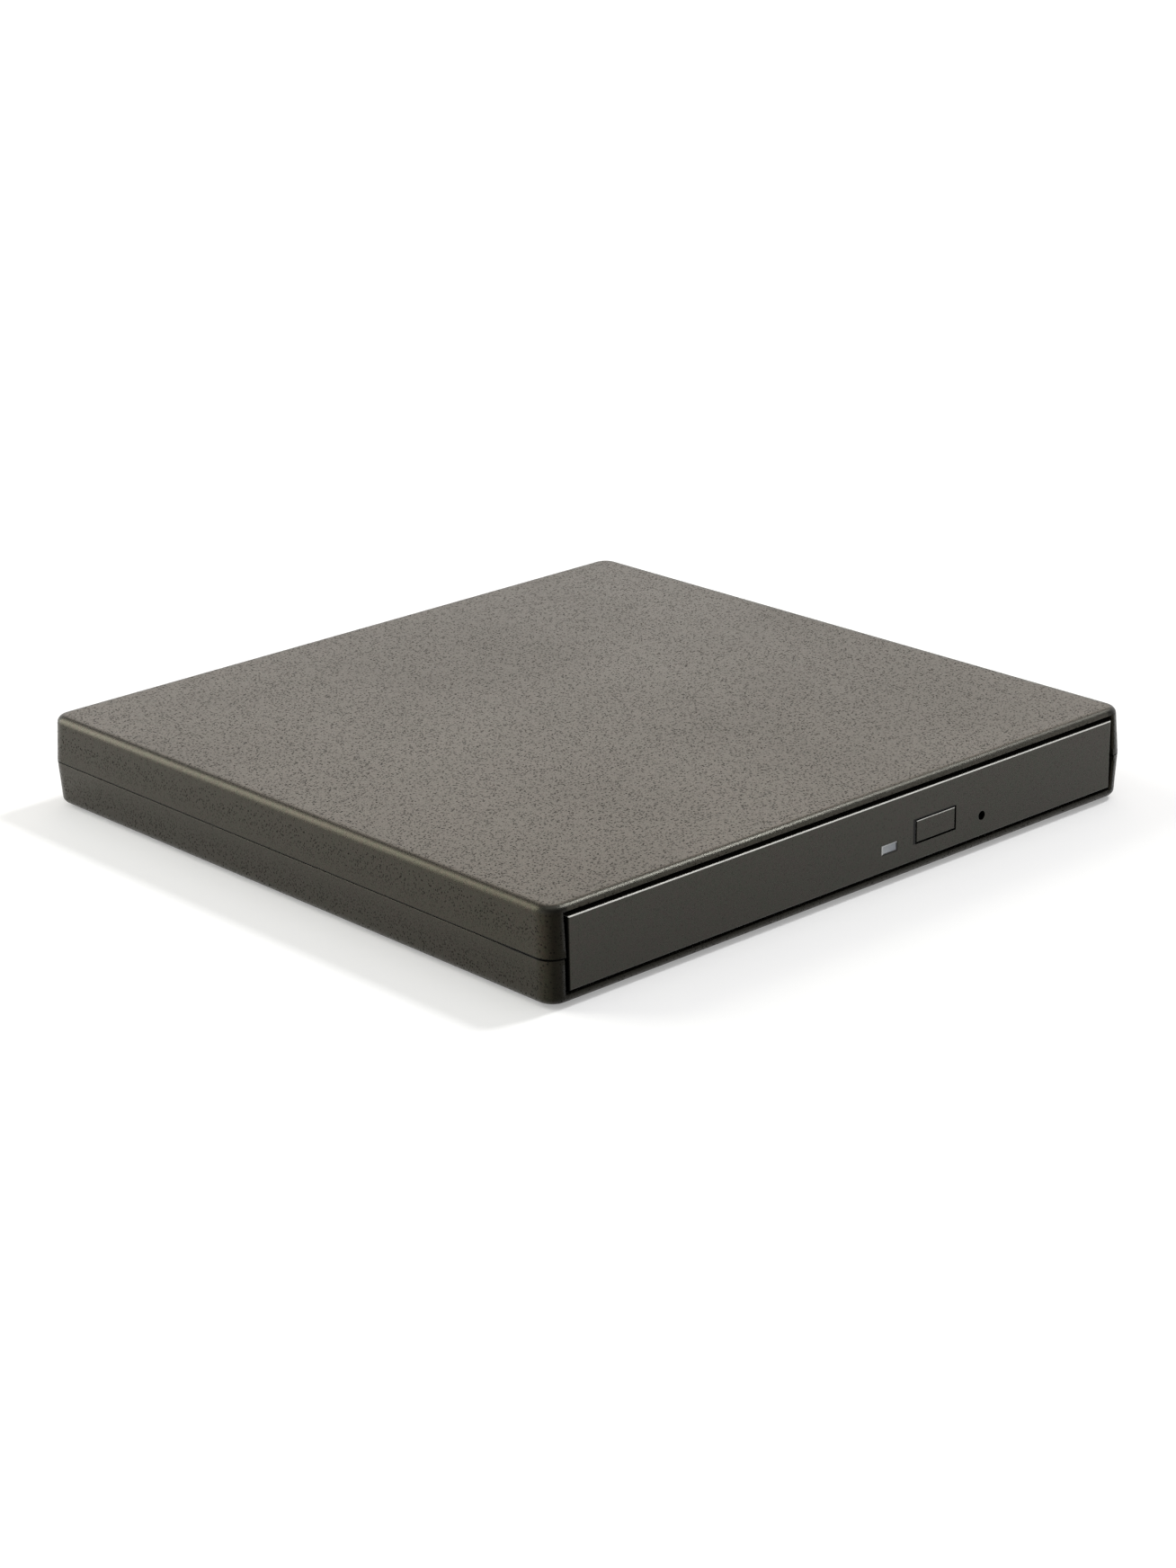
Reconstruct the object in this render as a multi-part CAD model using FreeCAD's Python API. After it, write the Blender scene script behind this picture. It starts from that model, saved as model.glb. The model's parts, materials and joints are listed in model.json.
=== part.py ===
"""Slim external DVD drive: a two-shell plastic case round a tray-loading optical drive.

Units are millimetres. The origin is under the middle of the case, on the surface that the feet stand on.
X runs to the right as seen from the front, Y runs from the front to the back and Z is up.
The tray is modelled closed. The sizes grow outwards: disc, tray, drive, then case.
"""
import FreeCAD, Part
import math
import os

V = FreeCAD.Vector
UP = V(0, 0, 1)

# Disc, a standard size
disc_radius = 60.0
disc_thickness = 1.2
disc_hole_radius = 7.5
small_disc_radius = 40.0

# Drive unit, a sheet pan and a lid, and the room it leaves round the disc
disc_room_side = 4.0
disc_room_front = 2.0
disc_room_rear = 3.5
drive_height = 12.7
pan_sheet = 0.8
pan_side_sheet = 0.7
pan_bend = 0.7
lid_sheet = 0.7
lid_bend = 0.6
lid_flange_height = 7.0
sheet_gap = 0.05
hook_count = 4
hook_spacing = 32.0
hook_width = 5.0
hook_height = 1.4
hook_drop = 4.15
hook_bite = 0.4
hook_gap = 0.1
pan_groove_length = 60.0
pan_groove_width = 3.0
pan_groove_depth = 0.25
pan_groove_spacing = 20.0

# Case, and the room it leaves round the drive
case_gap_side = 2.0
case_gap_rear = 4.4
case_gap_below = 0.5
case_gap_above = 0.7
side_wall = 2.0
front_wall = 2.0
rear_wall = 1.6
roof = 1.05
floor = 1.45
parting_height = 8.0
top_draft = 0.45
bottom_draft = 0.35
corner_radius = 3.2
top_edge_radius = 1.4
bottom_edge_radius = 1.2
inner_corner_radius = 1.4
reveal_height = 0.18
reveal_depth = 0.35
mouth_gap = 0.7
mouth_flare = 0.3
lip_height = 0.9
lip_thickness = 0.7
lip_gap = 0.1
lip_setback = 4.0
rib_thickness = 1.0
rib_spacing = 42.0
rib_setback = 25.5

# Feet and screws
foot_drop = 0.6
foot_length = 12.0
foot_width = 5.0
foot_corner = 1.2
foot_inset = 14.0
boss_width = 4.2
boss_inset = 7.0
boss_rise = 0.4
screw_radius = 0.85
screw_length = 12.0
screw_head_radius = 1.9
screw_head_height = 0.9
screw_head_sides = 12
screw_pocket_depth = 1.2
screw_hole_gap = 0.25
screw_head_gap = 0.2
screw_end_wall = 1.0

# Bezel and its controls, placed from the middle of the case and the middle of the bezel's height
bezel_short_below = 0.13
bezel_short_above = 0.07
bezel_thickness = 3.2
bezel_plate = 2.0
bezel_rim = 1.2
bezel_recess = 0.1
bezel_rear_gap = 0.2
bezel_edge_radius = 0.3
bezel_rib = 1.2
bezel_rib_places = (-52.0, -30.0, -8.0, 44.0, 55.0)
button_width = 9.5
button_height = 3.9
button_x = 19.1
button_drop = 1.1
button_gap = 0.25
button_travel = 0.8
button_edge_radius = 0.2
button_flange = 0.8
button_flange_sheet = 0.3
stem_width = 2.8
stem_length = 2.6
window_gap = 0.5
lamp_width = 3.7
lamp_height = 1.6
lamp_x = 7.8
lamp_drop = 2.25
lamp_gap = 0.08
lamp_pipe = 2.9
pin_hole_radius = 0.8
pin_hole_x = 30.6
pin_hole_drop = 2.5

# Front board with the switch and the lamp
front_board_thickness = 0.8
front_board_setback = 3.0
front_board_length = 10.0
front_board_gap = 0.2
switch_gap = 0.1
switch_size = 4.4
switch_depth = 3.0
switch_nub = 1.4
diode_width = 2.4
diode_length = 1.8

# Tray
recess_clearance = 0.6
lid_to_tray = 0.65
recess_depth = 1.9
small_recess_depth = 0.5
deck_over_rail = 0.75
deck_thickness = 1.3
deck_gap = 0.3
tray_wall = 1.6
tray_front_wall = 1.8
skirt_gap = 1.45
tray_rear_gap = 0.5
disc_lift = 0.5
scoop_radius = 9.0
scoop_angles = (40.0, 140.0)

# Telescopic rails
guide_wall = 0.9
guide_flange = 0.8
guide_lip_gap = 0.4
rail_height = 3.8
rail_width = 1.6
rail_gap = 0.1
rail_drop = 3.25
rail_front_gap = 2.0
rail_rear_gap = 11.5
tongue_height = 1.6
tongue_depth = 0.9
tongue_short = 4.0

# Spindle
rotor_radius = 13.0
rotor_wall = 0.6
rotor_top = 0.8
rotor_gap = 0.25
pad_thickness = 0.35
pad_width = 2.5
pad_inset = 0.5
shaft_radius = 1.0
shaft_gap = 0.03
bearing_radius = 3.0
bearing_drop = 0.6
bearing_cap = 0.2
stator_room = 2.15
stator_gap = 2.8
stator_hub = 2.2
pole_count = 9
pole_width = 1.8
shoe_width = 4.8
shoe_depth = 1.2
hub_gap = 0.25
hub_cone = 0.5
hub_cone_inset = 1.6
claw_count = 3
claw_width = 2.2
claw_gap = 0.2
claw_root = 4.6
claw_turn = 30.0

# Traverse: u runs from the spindle along the sled's travel, v across it
traverse_turn = 225.0
plate_gap = 1.45
plate_thickness = 0.7
cover_thickness = 0.6
cover_gap = 0.25
cover_corner = 6.0
rod_radius = 1.0
rod_v = 13.5
rod_drop = 0.25
rod_holder_length = 1.8
rod_holder_width = 3.0
sled_room = 2.4
sled_length = 14.8
sled_gap = 0.2
arm_drop = 0.7
lens_inset = 8.6
lens_edge = 2.2
lane_room = 5.4
slide_gap = 0.05
damper_radius = 2.1
damper_height = 1.1
holder_length = 7.6
holder_width = 11.2
holder_height = 1.9
lens_radius = 2.2
lens_height = 0.55
lead_offset = 5.0
lead_radius = 1.2
lead_pin_radius = 0.6
sled_motor_radius = 2.7
sled_motor_length = 12.6
nut_gap = 0.1
nut_length = 5.0
nut_height = 2.4

# Latch, solenoid and ejector, on the tray
latch_setback = 6.0
latch_offset = 4.6
latch_thickness = 1.4
latch_reach = 9.2
latch_arm_width = 2.4
latch_release = 11.0
latch_pin_radius = 0.75
latch_pin_gap = 0.05
latch_boss = 3.4
latch_root = 1.1
claw_depth = 1.6
claw_hold = 1.2
post_radius = 0.8
post_gap = 0.1
post_offset = 4.0
plunger_radius = 1.0
plunger_gap = 0.1
plunger_offset = 3.8
coil_offset = 8.0
coil_length = 12.0
coil_radius = 2.4
coil_drop = 1.9
coil_gap = 0.1
yoke_sheet = 0.8
yoke_width = 6.0
yoke_drop = 2.0
ejector_inset = 16.0
ejector_drop = 2.0
ejector_travel = 8.0
ejector_bar = 1.6
ejector_block_setback = 25.5
ejector_block_depth = 3.0
ejector_block_width = 6.0
spring_wire = 0.35
spring_radius = 1.45
spring_turns = 5
spring_steps = 8

# Boards, connectors and the socket for the computer's lead
board_thickness = 1.0
board_gap = 0.15
board_inset = 7.0
board_end = 8.0
board_lift = 1.4
board_post = 2.4
plug_inset = 3.0
plug_width = 32.0
plug_depth = 4.8
plug_cover = 0.8
plug_height = 1.9
plug_lift = 0.6
plug_nose = 4.3
plug_gap = 0.1
plug_key = 12.0
plug_key_width = 1.0
plug_room = 1.8
plug_stand = 1.2
connector_wall = 1.0
notch_depth = 11.0
chip_height = 0.9
chip_gap = 1.0
controller_chip = 5.0
memory_chip = (6.0, 4.0)
clock_chip = (3.0, 2.0)
main_board_depth = 35.5
main_chips_places = (
    (18.0, 13.5, 12.0, 12.0),
    (38.0, 13.5, 8.0, 8.0),
    (52.0, 7.5, 6.0, 10.0),
    (6.0, 7.5, 6.0, 4.0),
)
usb_inset = 19.0
usb_width = 7.6
usb_height = 2.7
usb_depth = 5.2
usb_wall = 0.3
usb_bevel = 1.0
usb_setback = 0.25
usb_window_gap = 0.35
usb_tongue_width = 3.8
usb_tongue_height = 0.65

# Flat cable
cable_width = 16.0
cable_thickness = 0.15
cable_gap = 0.15
cable_connector = 3.0
cable_fold = 18.5

# Levels and planes worked out from the sizes above
case_z0 = foot_drop
parting_z = case_z0 + parting_height
inside_z0 = case_z0 + floor
drive_z0 = inside_z0 + case_gap_below
drive_z1 = drive_z0 + drive_height
inside_z1 = drive_z1 + case_gap_above
case_z1 = inside_z1 + roof

drive_half = disc_radius + disc_room_side
drive_depth = disc_room_front + 2 * disc_radius + disc_room_rear
inner_x = drive_half + case_gap_side
half_width = inner_x + side_wall
case_depth = bezel_recess + bezel_thickness + bezel_rear_gap + drive_depth + case_gap_rear + rear_wall
half_depth = case_depth / 2
inner_front = -half_depth + front_wall
inner_rear = half_depth - rear_wall
mouth_half = drive_half + mouth_gap

bezel_front = -half_depth + bezel_recess
bezel_back = bezel_front + bezel_thickness
bezel_z0 = drive_z0 + bezel_short_below
bezel_z1 = drive_z1 - bezel_short_above
bezel_mid_z = (bezel_z0 + bezel_z1) / 2
button_z = bezel_mid_z - button_drop
lamp_z = bezel_mid_z - lamp_drop
pin_hole_z = bezel_mid_z - pin_hole_drop

drive_front = bezel_back + bezel_rear_gap
drive_rear = drive_front + drive_depth
drive_middle = (drive_front + drive_rear) / 2
centre = V(0, drive_front + disc_room_front + disc_radius, 0)
lid_under = drive_z1 - lid_sheet
pan_top = lid_under - sheet_gap
pan_half = drive_half - lid_sheet - sheet_gap
pan_inner = pan_half - pan_side_sheet
pan_floor = drive_z0 + pan_sheet
pan_rear = drive_rear - lid_sheet - sheet_gap
pan_inner_rear = pan_rear - pan_side_sheet

tray_top = lid_under - lid_to_tray
recess_z = tray_top - recess_depth
small_recess_z = recess_z - small_recess_depth
recess_radius = disc_radius + recess_clearance
disc_z = recess_z + disc_lift
deck_rail_z = recess_z - deck_over_rail
deck_under = small_recess_z - deck_thickness
skirt_z = pan_floor + skirt_gap
tray_rear = pan_inner_rear - tray_rear_gap

guide_inner = pan_inner - guide_wall
rail_outer = guide_inner - rail_gap
rail_inner = rail_outer - rail_width
rail_z = deck_rail_z - rail_drop
rail_front = drive_front + rail_front_gap
rail_end = drive_rear - rail_rear_gap
tray_side = rail_inner - deck_gap

plate_z = pan_floor + plate_gap
plate_top = plate_z + plate_thickness
cover_z = small_recess_z - cover_thickness
rod_z = (plate_top + deck_under) / 2 - rod_drop
screw_v = rod_v + lead_offset
sled_u0 = rotor_radius + sled_room
sled_u1 = sled_u0 + sled_length
sled_z0 = plate_top + sled_gap
sled_z1 = deck_under - sled_gap
lens_u = sled_u0 + lens_inset
lane_u0 = rotor_radius - 3.0
lane_u1 = disc_radius - lens_edge + lane_room
lane_half = holder_width / 2 + 1.0
cover_far = lane_u1 + 1.3
frame_far = cover_far + 1.8
rod_u0 = rotor_radius - 1.4
rod_u1 = frame_far - 0.1
lead_u0 = rotor_radius - 3.6
lead_u1 = frame_far - 10.3
motor_top = deck_under - 1.0
holder_z0 = deck_under - 1.2
holder_z1 = holder_z0 + holder_height

rotor_z0 = plate_top + rotor_gap
rotor_z1 = disc_z - pad_thickness
stator_z0 = plate_top + rotor_gap + 0.05
stator_z1 = rotor_z1 - rotor_top - stator_room
bearing_z0 = plate_z - bearing_drop
bearing_z1 = stator_z1 + 1.0
hub_radius = disc_hole_radius - hub_gap
hub_top = disc_z + disc_thickness - 0.1

main_board_z = pan_floor + board_gap
main_board_top = main_board_z + board_thickness
usb_board_z = inside_z0 + board_lift
usb_z = usb_board_z + board_thickness
board_x1 = drive_half - board_inset
plug_x1 = board_x1 - board_end
plug_x0 = plug_x1 - plug_width
board_x0 = plug_x0 - plug_inset
plug_z0 = usb_z + plug_lift
plug_z1 = plug_z0 + plug_height
plug_mouth_y = drive_rear - notch_depth
connector_front = plug_mouth_y - plug_nose - plug_room
notch_top = plug_z1 + connector_wall + 0.6
usb_x = board_x1 - usb_inset
usb_mouth_y = half_depth - bottom_draft - usb_setback
cable_x = (plug_x0 + plug_x1) / 2
cable_y1 = connector_front - 1.2
cable_y0 = cable_y1 - cable_connector
cable_fold_y = centre.y - cable_fold

front_board_z = skirt_z + front_board_gap
front_board_top = front_board_z + front_board_thickness
front_board_y = bezel_back + front_board_setback
stem_tip = bezel_back + stem_length
switch_face = stem_tip + button_travel + switch_gap

latch_x = pin_hole_x - latch_offset
latch_y = drive_front + latch_setback
latch_z = pin_hole_z - latch_thickness / 2
post_x = latch_x + post_offset
post_y = latch_y + latch_reach - claw_depth - post_gap - post_radius
plunger_x = latch_x + latch_arm_width / 2
plunger_y = latch_y + plunger_offset
plunger_z = pin_hole_z
coil_x0 = latch_x + coil_offset
coil_x1 = coil_x0 + coil_length
coil_top = deck_under - yoke_sheet - coil_gap - 0.47
ejector_x = ejector_inset - drive_half
ejector_z = deck_under - ejector_drop
block_y0 = tray_rear - ejector_block_setback
block_y1 = block_y0 + ejector_block_depth
collar_y = tray_rear - tray_wall - ejector_travel - 1.2


# Helpers

def box(x0, x1, y0, y1, z0, z1):
    return Part.makeBox(x1 - x0, y1 - y0, z1 - z0, V(x0, y0, z0))


def block(x, z, width, height, y0, y1):
    """A bar along Y whose middle is at x and z."""
    return box(x - width / 2, x + width / 2, y0, y1, z - height / 2, z + height / 2)


def rod(radius, start, direction, length):
    return Part.makeCylinder(radius, length, start, direction)


def post(radius, x, y, z0, z1):
    return rod(radius, V(x, y, z0), UP, z1 - z0)


def stub(radius, x, y, z0, z1, sides=8):
    """A many-sided post, for small ones that repeat."""
    points = []
    for k in range(sides):
        a = 2 * math.pi * (k + 0.5) / sides
        points.append((x + radius * math.cos(a), y + radius * math.sin(a)))
    return plate_of(points, z0, z1)


def ring(outer, inner, x, y, z0, z1):
    return post(outer, x, y, z0, z1).cut(post(inner, x, y, z0 - 1, z1 + 1))


def rounded_outline(hx, hy, radius, z):
    """A rectangle of half sizes hx and hy with round corners, as a wire at height z."""
    d = radius * (1 - math.sqrt(0.5))
    edges = []
    corners = [(1, 1), (-1, 1), (-1, -1), (1, -1)]
    for k, (sx, sy) in enumerate(corners):
        along_x = (hx - radius) * sx, hy * sy
        along_y = hx * sx, (hy - radius) * sy
        middle = (hx - d) * sx, (hy - d) * sy
        first, last = (along_y, along_x) if sx * sy > 0 else (along_x, along_y)
        arc = Part.Arc(V(*first, z), V(*middle, z), V(*last, z)).toShape()
        nx, ny = corners[(k + 1) % 4]
        following = (hx * nx, (hy - radius) * ny) if nx * ny > 0 else ((hx - radius) * nx, hy * ny)
        edges.append(arc)
        edges.append(Part.makeLine(V(*last, z), V(*following, z)))
    return Part.Wire(edges)


def rounded_block(hx, hy, radius, z0, z1):
    face = Part.Face(rounded_outline(hx, hy, radius, z0))
    return face.extrude(V(0, 0, z1 - z0))


def plate_of(points, z0, z1):
    outline = Part.makePolygon([V(x, y, z0) for x, y in points + points[:1]])
    return Part.Face(outline).extrude(V(0, 0, z1 - z0))


def on_traverse(shape):
    """Turns a shape from the traverse's own axes, u and v about the spindle, into the drive."""
    shape.rotate(V(0, 0, 0), UP, traverse_turn)
    shape.translate(centre)
    return shape


def fused(first, *others):
    return first.fuse(list(others)).removeSplitter() if others else first


def mirrored(shape):
    return shape.mirror(V(0, 0, 0), V(1, 0, 0))


def both_sides(shape):
    """The shape and its mirror image across the middle of the drive."""
    return [shape, mirrored(shape)]


def edges_at(shape, test):
    return [e for e in shape.Edges if test(e.BoundBox)]


# Case shells

def shell_blank(z_wide, z_narrow, draft, edge_radius):
    """The outer form of one case half, widest at the parting plane, with rounded corners and far edge."""
    def profile(half):
        wide = [(-half, z_wide), (half, z_wide)]
        return wide + [(half - draft, z_narrow), (draft - half, z_narrow), (-half, z_wide)]

    along_y = Part.Face(Part.makePolygon([V(x, -half_depth, z) for x, z in profile(half_width)]))
    along_x = Part.Face(Part.makePolygon([V(-half_width, y, z) for y, z in profile(half_depth)]))
    body = along_y.extrude(V(0, case_depth, 0)).common(along_x.extrude(V(2 * half_width, 0, 0)))
    corners = edges_at(body, lambda b: b.ZLength > 1 and b.XLength < 1 and b.YLength < 1)
    body = body.makeFillet(corner_radius, corners)
    rim = edges_at(body, lambda b: abs(b.ZMin - z_narrow) < 1e-4 and abs(b.ZMax - z_narrow) < 1e-4)
    return body.makeFillet(edge_radius, rim)


def case_cavity(z0, z1):
    cavity = rounded_block(inner_x, (inner_rear - inner_front) / 2, inner_corner_radius, z0, z1)
    cavity.translate(V(0, (inner_front + inner_rear) / 2, 0))
    return cavity


def case_mouth(z0, z1, flare):
    """The opening for the bezel, wider by the flare at its upper end on each side."""
    low, high = mouth_half, mouth_half + flare
    outline = [(-low, z0), (low, z0), (high, z1), (-high, z1)]
    face = Part.Face(Part.makePolygon([V(x, -half_depth - 1, z) for x, z in outline + outline[:1]]))
    return face.extrude(V(0, front_wall + 2, 0))


def parting_ring(inset, thickness, z0, z1):
    """A ring that follows the case's outline at the parting plane."""
    outer = rounded_block(half_width - inset, half_depth - inset, corner_radius, z0, z1)
    depth = inset + thickness
    radius = corner_radius - thickness / 2
    inner = rounded_block(half_width - depth, half_depth - depth, radius, z0 - 1, z1 + 1)
    return outer.cut(inner)


def lips(gap, z0, z1):
    """The straight lips along both sides and the back that locate one shell in the other."""
    outer = side_wall - lip_thickness - gap
    inner = side_wall + gap
    back_outer = rear_wall - lip_thickness - gap
    back_inner = rear_wall + gap
    end = corner_radius + outer
    front = inner_front + lip_setback - gap
    sides = both_sides(box(half_width - inner, half_width - outer, front, half_depth - end, z0, z1))
    x = half_width - end
    back = box(-x, x, half_depth - back_inner, half_depth - back_outer, z0, z1)
    return sides + [back]


def rib_places():
    return [-rib_spacing, 0, rib_spacing]


def side_ribs(z0, z1):
    """Upright ribs on both side walls that hold the drive sideways."""
    ribs = []
    for y in rib_places():
        w = rib_thickness / 2
        ribs += both_sides(box(drive_half, inner_x + 0.5, y - w, y + w, z0, z1))
    return ribs


def long_ribs(y0, y1, z0, z1):
    return [box(x - rib_thickness / 2, x + rib_thickness / 2, y0, y1, z0, z1) for x in rib_places()]


def boss_places():
    return [(side * (half_width - boss_inset), inner_rear - boss_width / 2 + 0.1) for side in (-1, 1)]


def boss(x, y, z0, z1):
    w = boss_width / 2
    return box(x - w, x + w, y - w, y + w, z0, z1)


def case_top():
    shell = shell_blank(parting_z, case_z1, top_draft, top_edge_radius)
    shell = shell.cut(case_cavity(parting_z - 1, inside_z1)).cut(case_mouth(parting_z - 1, inside_z1, 0))
    parts = side_ribs(parting_z + lip_height + lip_gap, inside_z1)
    parts += long_ribs(inner_front + rib_setback, drive_rear, drive_z1, inside_z1)
    parts += [boss(x, y, parting_z + boss_rise, inside_z1) for x, y in boss_places()]
    shell = fused(shell, *parts)
    shell = shell.cut(lips(lip_gap, parting_z - 1, parting_z + lip_height + lip_gap))
    for x, y in boss_places():
        shell = shell.cut(stub(screw_radius, x, y, parting_z, inside_z1 - screw_end_wall))
    return shell


def case_bottom():
    shell = shell_blank(parting_z, case_z0, bottom_draft, bottom_edge_radius)
    shell = shell.cut(case_cavity(inside_z0, parting_z + 1))
    shell = shell.cut(case_mouth(inside_z0, parting_z, mouth_flare))
    shell = shell.cut(parting_ring(-0.1, reveal_depth + 0.1, parting_z - reveal_height, parting_z + 1))
    parts = lips(0.0, parting_z - 0.5, parting_z + lip_height) + side_ribs(inside_z0, parting_z)
    root = inside_z0 - 0.2
    parts += long_ribs(inner_front + lip_setback, drive_rear - notch_depth - 2, root, drive_z0)
    parts += [boss(x, y, root, parting_z + boss_rise) for x, y in boss_places()]
    for x in (board_x0 + board_post, board_x1 - board_post):
        w = board_post / 2
        parts.append(box(x - w, x + w, inner_rear - 3.0, inner_rear + 0.3, root, usb_board_z))
    shell = fused(shell, *parts)
    for x, y in boss_places():
        shell = shell.cut(stub(screw_radius + screw_hole_gap, x, y, 0, parting_z + 1))
        top = case_z0 + screw_pocket_depth
        shell = shell.cut(stub(screw_head_radius + screw_head_gap, x, y, 0, top, screw_head_sides))
    gap = usb_window_gap
    width, height = usb_width + 2 * gap, usb_height + 2 * gap
    return shell.cut(block(usb_x, usb_z + usb_height / 2, width, height, inner_rear - 0.5, half_depth + 1))


def case_feet():
    """Four oblong rubber pads with cut corners, stuck under the case."""
    a, b, c = foot_length / 2, foot_width / 2, foot_corner
    right = [(a - c, -b), (a, -b + c), (a, b - c), (a - c, b)]
    outline = right + [(-x, -y) for x, y in right]
    feet = []
    for sx, sy in ((-1, -1), (1, -1), (1, 1), (-1, 1)):
        x, y = sx * (half_width - foot_inset), sy * (half_depth - foot_inset)
        feet.append(plate_of([(x + dx, y + dy) for dx, dy in outline], 0, foot_drop))
    return Part.makeCompound(feet)


def case_screws():
    """Two screws that point up from the bottom shell into the top one."""
    z = case_z0 + screw_pocket_depth - screw_head_height
    screws = []
    for x, y in boss_places():
        head = stub(screw_head_radius, x, y, z, z + screw_head_height, screw_head_sides)
        screws.append(head.fuse(stub(screw_radius, x, y, z + screw_head_height, z + screw_length)))
    return Part.makeCompound(screws)


# Rear board with the socket for the computer's lead

def bridge_board():
    return box(board_x0, board_x1, plug_mouth_y + plug_stand, inner_rear - 0.2, usb_board_z, usb_z)


def bridge_plug():
    y = plug_mouth_y
    body = box(plug_x0 - 1, plug_x1 + 1, y + 0.2, y + 0.2 + plug_depth, usb_z, plug_z1 + plug_cover)
    gap = plug_gap
    nose = box(plug_x0 + gap, plug_x1 - gap, y - plug_nose, y + 0.2, plug_z0 + gap, plug_z1 - gap)
    x = plug_x0 + plug_key
    notch = box(x, x + plug_key_width, y - plug_nose - 1, y, plug_z0 - 1, plug_z1 + 1)
    return fused(body, nose).cut(notch)


def drive_connector():
    y = plug_mouth_y
    wall = connector_wall
    body = box(plug_x0 - wall, plug_x1 + wall, connector_front, y, main_board_top, plug_z1 + wall)
    cavity = box(plug_x0, plug_x1, y - plug_nose - 0.2, y + 1, plug_z0, plug_z1)
    x0 = plug_x0 + plug_key + 2 * plug_gap
    x1 = plug_x0 + plug_key + plug_key_width - 2 * plug_gap
    key = box(x0, x1, y - plug_nose - 0.5, y - 0.3, plug_z0 - 0.2, plug_z1 + 0.2)
    return fused(body.cut(cavity), key)


def bridge_chips():
    """A controller chip beside the plug, and a memory chip and a clock behind it."""
    z0, z1 = usb_z, usb_z + chip_height
    beside = plug_x1 + 1 + chip_gap
    front = plug_mouth_y + plug_stand + chip_gap
    behind = plug_mouth_y + 0.2 + plug_depth + chip_gap
    first = board_x0 + 4 * chip_gap
    second = first + memory_chip[0] + 2 * chip_gap
    chips = [
        box(beside, beside + controller_chip, front, front + controller_chip, z0, z1),
        box(first, first + memory_chip[0], behind, behind + memory_chip[1], z0, z1),
        box(second, second + clock_chip[0], behind, behind + clock_chip[1], z0, z1),
    ]
    return Part.makeCompound(chips)


def usb_outline(grow, y):
    """The socket's outline across its mouth: flat top, narrower below, as for a small trapezoid plug."""
    w = usb_width / 2 - grow
    z0, z1 = usb_z + grow, usb_z + usb_height - grow
    cut = usb_bevel
    points = [(-w, z1), (-w, z0 + cut), (-w + cut, z0), (w - cut, z0), (w, z0 + cut), (w, z1), (-w, z1)]
    return Part.Face(Part.makePolygon([V(usb_x + x, y, z) for x, z in points]))


def usb_socket_shell():
    outer = usb_outline(0, usb_mouth_y).extrude(V(0, -usb_depth, 0))
    inner = usb_outline(usb_wall, usb_mouth_y + 1).extrude(V(0, -usb_depth - 2, 0))
    return outer.cut(inner)


def usb_socket_tongue():
    back = usb_mouth_y - usb_depth
    base = usb_outline(usb_wall, back + 1.2).extrude(V(0, -1, 0))
    z = usb_z + usb_height / 2 + 0.1 + usb_tongue_height / 2
    tongue = block(usb_x, z, usb_tongue_width, usb_tongue_height, back + 1, usb_mouth_y - 0.6)
    return fused(base, tongue)


# Drive pan and lid

def hook_places():
    first = drive_middle - hook_spacing * (hook_count - 1) / 2
    return [first + k * hook_spacing for k in range(hook_count)]


def hooks(x0, x1, gap):
    """Bars across one side that stand for the lid's hooks, or with a gap for the pan's slots."""
    z = lid_under - hook_drop
    h = hook_height / 2 + gap
    w = hook_width / 2 + gap
    return [box(x0, x1, y - w, y + w, z - h, z + h) for y in hook_places()]


def drive_chassis():
    outer = box(-pan_half, pan_half, drive_front, pan_rear, drive_z0, pan_top)
    pan = outer.cut(box(-pan_inner, pan_inner, drive_front - 1, pan_inner_rear, pan_floor, pan_top + 1))
    bends = edges_at(pan, lambda b: b.ZMax < drive_z0 + 1e-4 and b.YLength > 50 and b.XLength < 1e-3)
    pan = pan.makeFillet(pan_bend, bends)
    pan = pan.cut(box(board_x0 - 1, board_x1 + 1, plug_mouth_y, drive_rear + 1, drive_z0 - 1, notch_top))
    half = pan_groove_length / 2
    w = pan_groove_width / 2
    for k in (-1, 0, 1):
        x = k * pan_groove_spacing
        pan = pan.cut(box(x - w, x + w, drive_middle - half, drive_middle + half, drive_z0 - 1,
                          drive_z0 + pan_groove_depth))
    return pan.cut(hooks(-drive_half, drive_half, hook_gap))


def drive_lid():
    flange_z = drive_z1 - lid_flange_height
    skirt = box(-drive_half, drive_half, drive_front, drive_rear, flange_z, drive_z1)
    inner = drive_half - lid_sheet
    lid = skirt.cut(box(-inner, inner, drive_front - 1, drive_rear - lid_sheet, flange_z - 1, lid_under))
    bends = edges_at(lid, lambda b: b.ZMin > drive_z1 - 1e-4 and b.YLength > 50 and b.XLength < 1e-3)
    lid = lid.makeFillet(lid_bend, bends)
    right = hooks(pan_half - hook_bite, inner, 0)
    return fused(lid, *right, *[mirrored(h) for h in right])


# Telescopic rails

def guide_channel():
    half = rail_height / 2 + rail_gap
    y0, y1 = rail_front - 1, rail_end
    back = box(guide_inner, pan_inner, y0, y1, rail_z - half - guide_flange, deck_rail_z + 1.5)
    flanges = []
    for z in (rail_z - half - guide_flange, rail_z + half):
        flanges.append(box(rail_inner + guide_lip_gap, guide_inner, y0, y1, z, z + guide_flange))
    return fused(back, *flanges)


def slide_rail():
    half = rail_height / 2
    bar = box(rail_inner, rail_outer, rail_front, rail_end, rail_z - half, rail_z + half)
    slot = tongue_height / 2 + rail_gap
    return bar.cut(box(rail_inner - 1, rail_inner + tongue_depth + rail_gap, rail_front - 1, rail_end + 1,
                       rail_z - slot, rail_z + slot))


# Main board and flat cable

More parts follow.
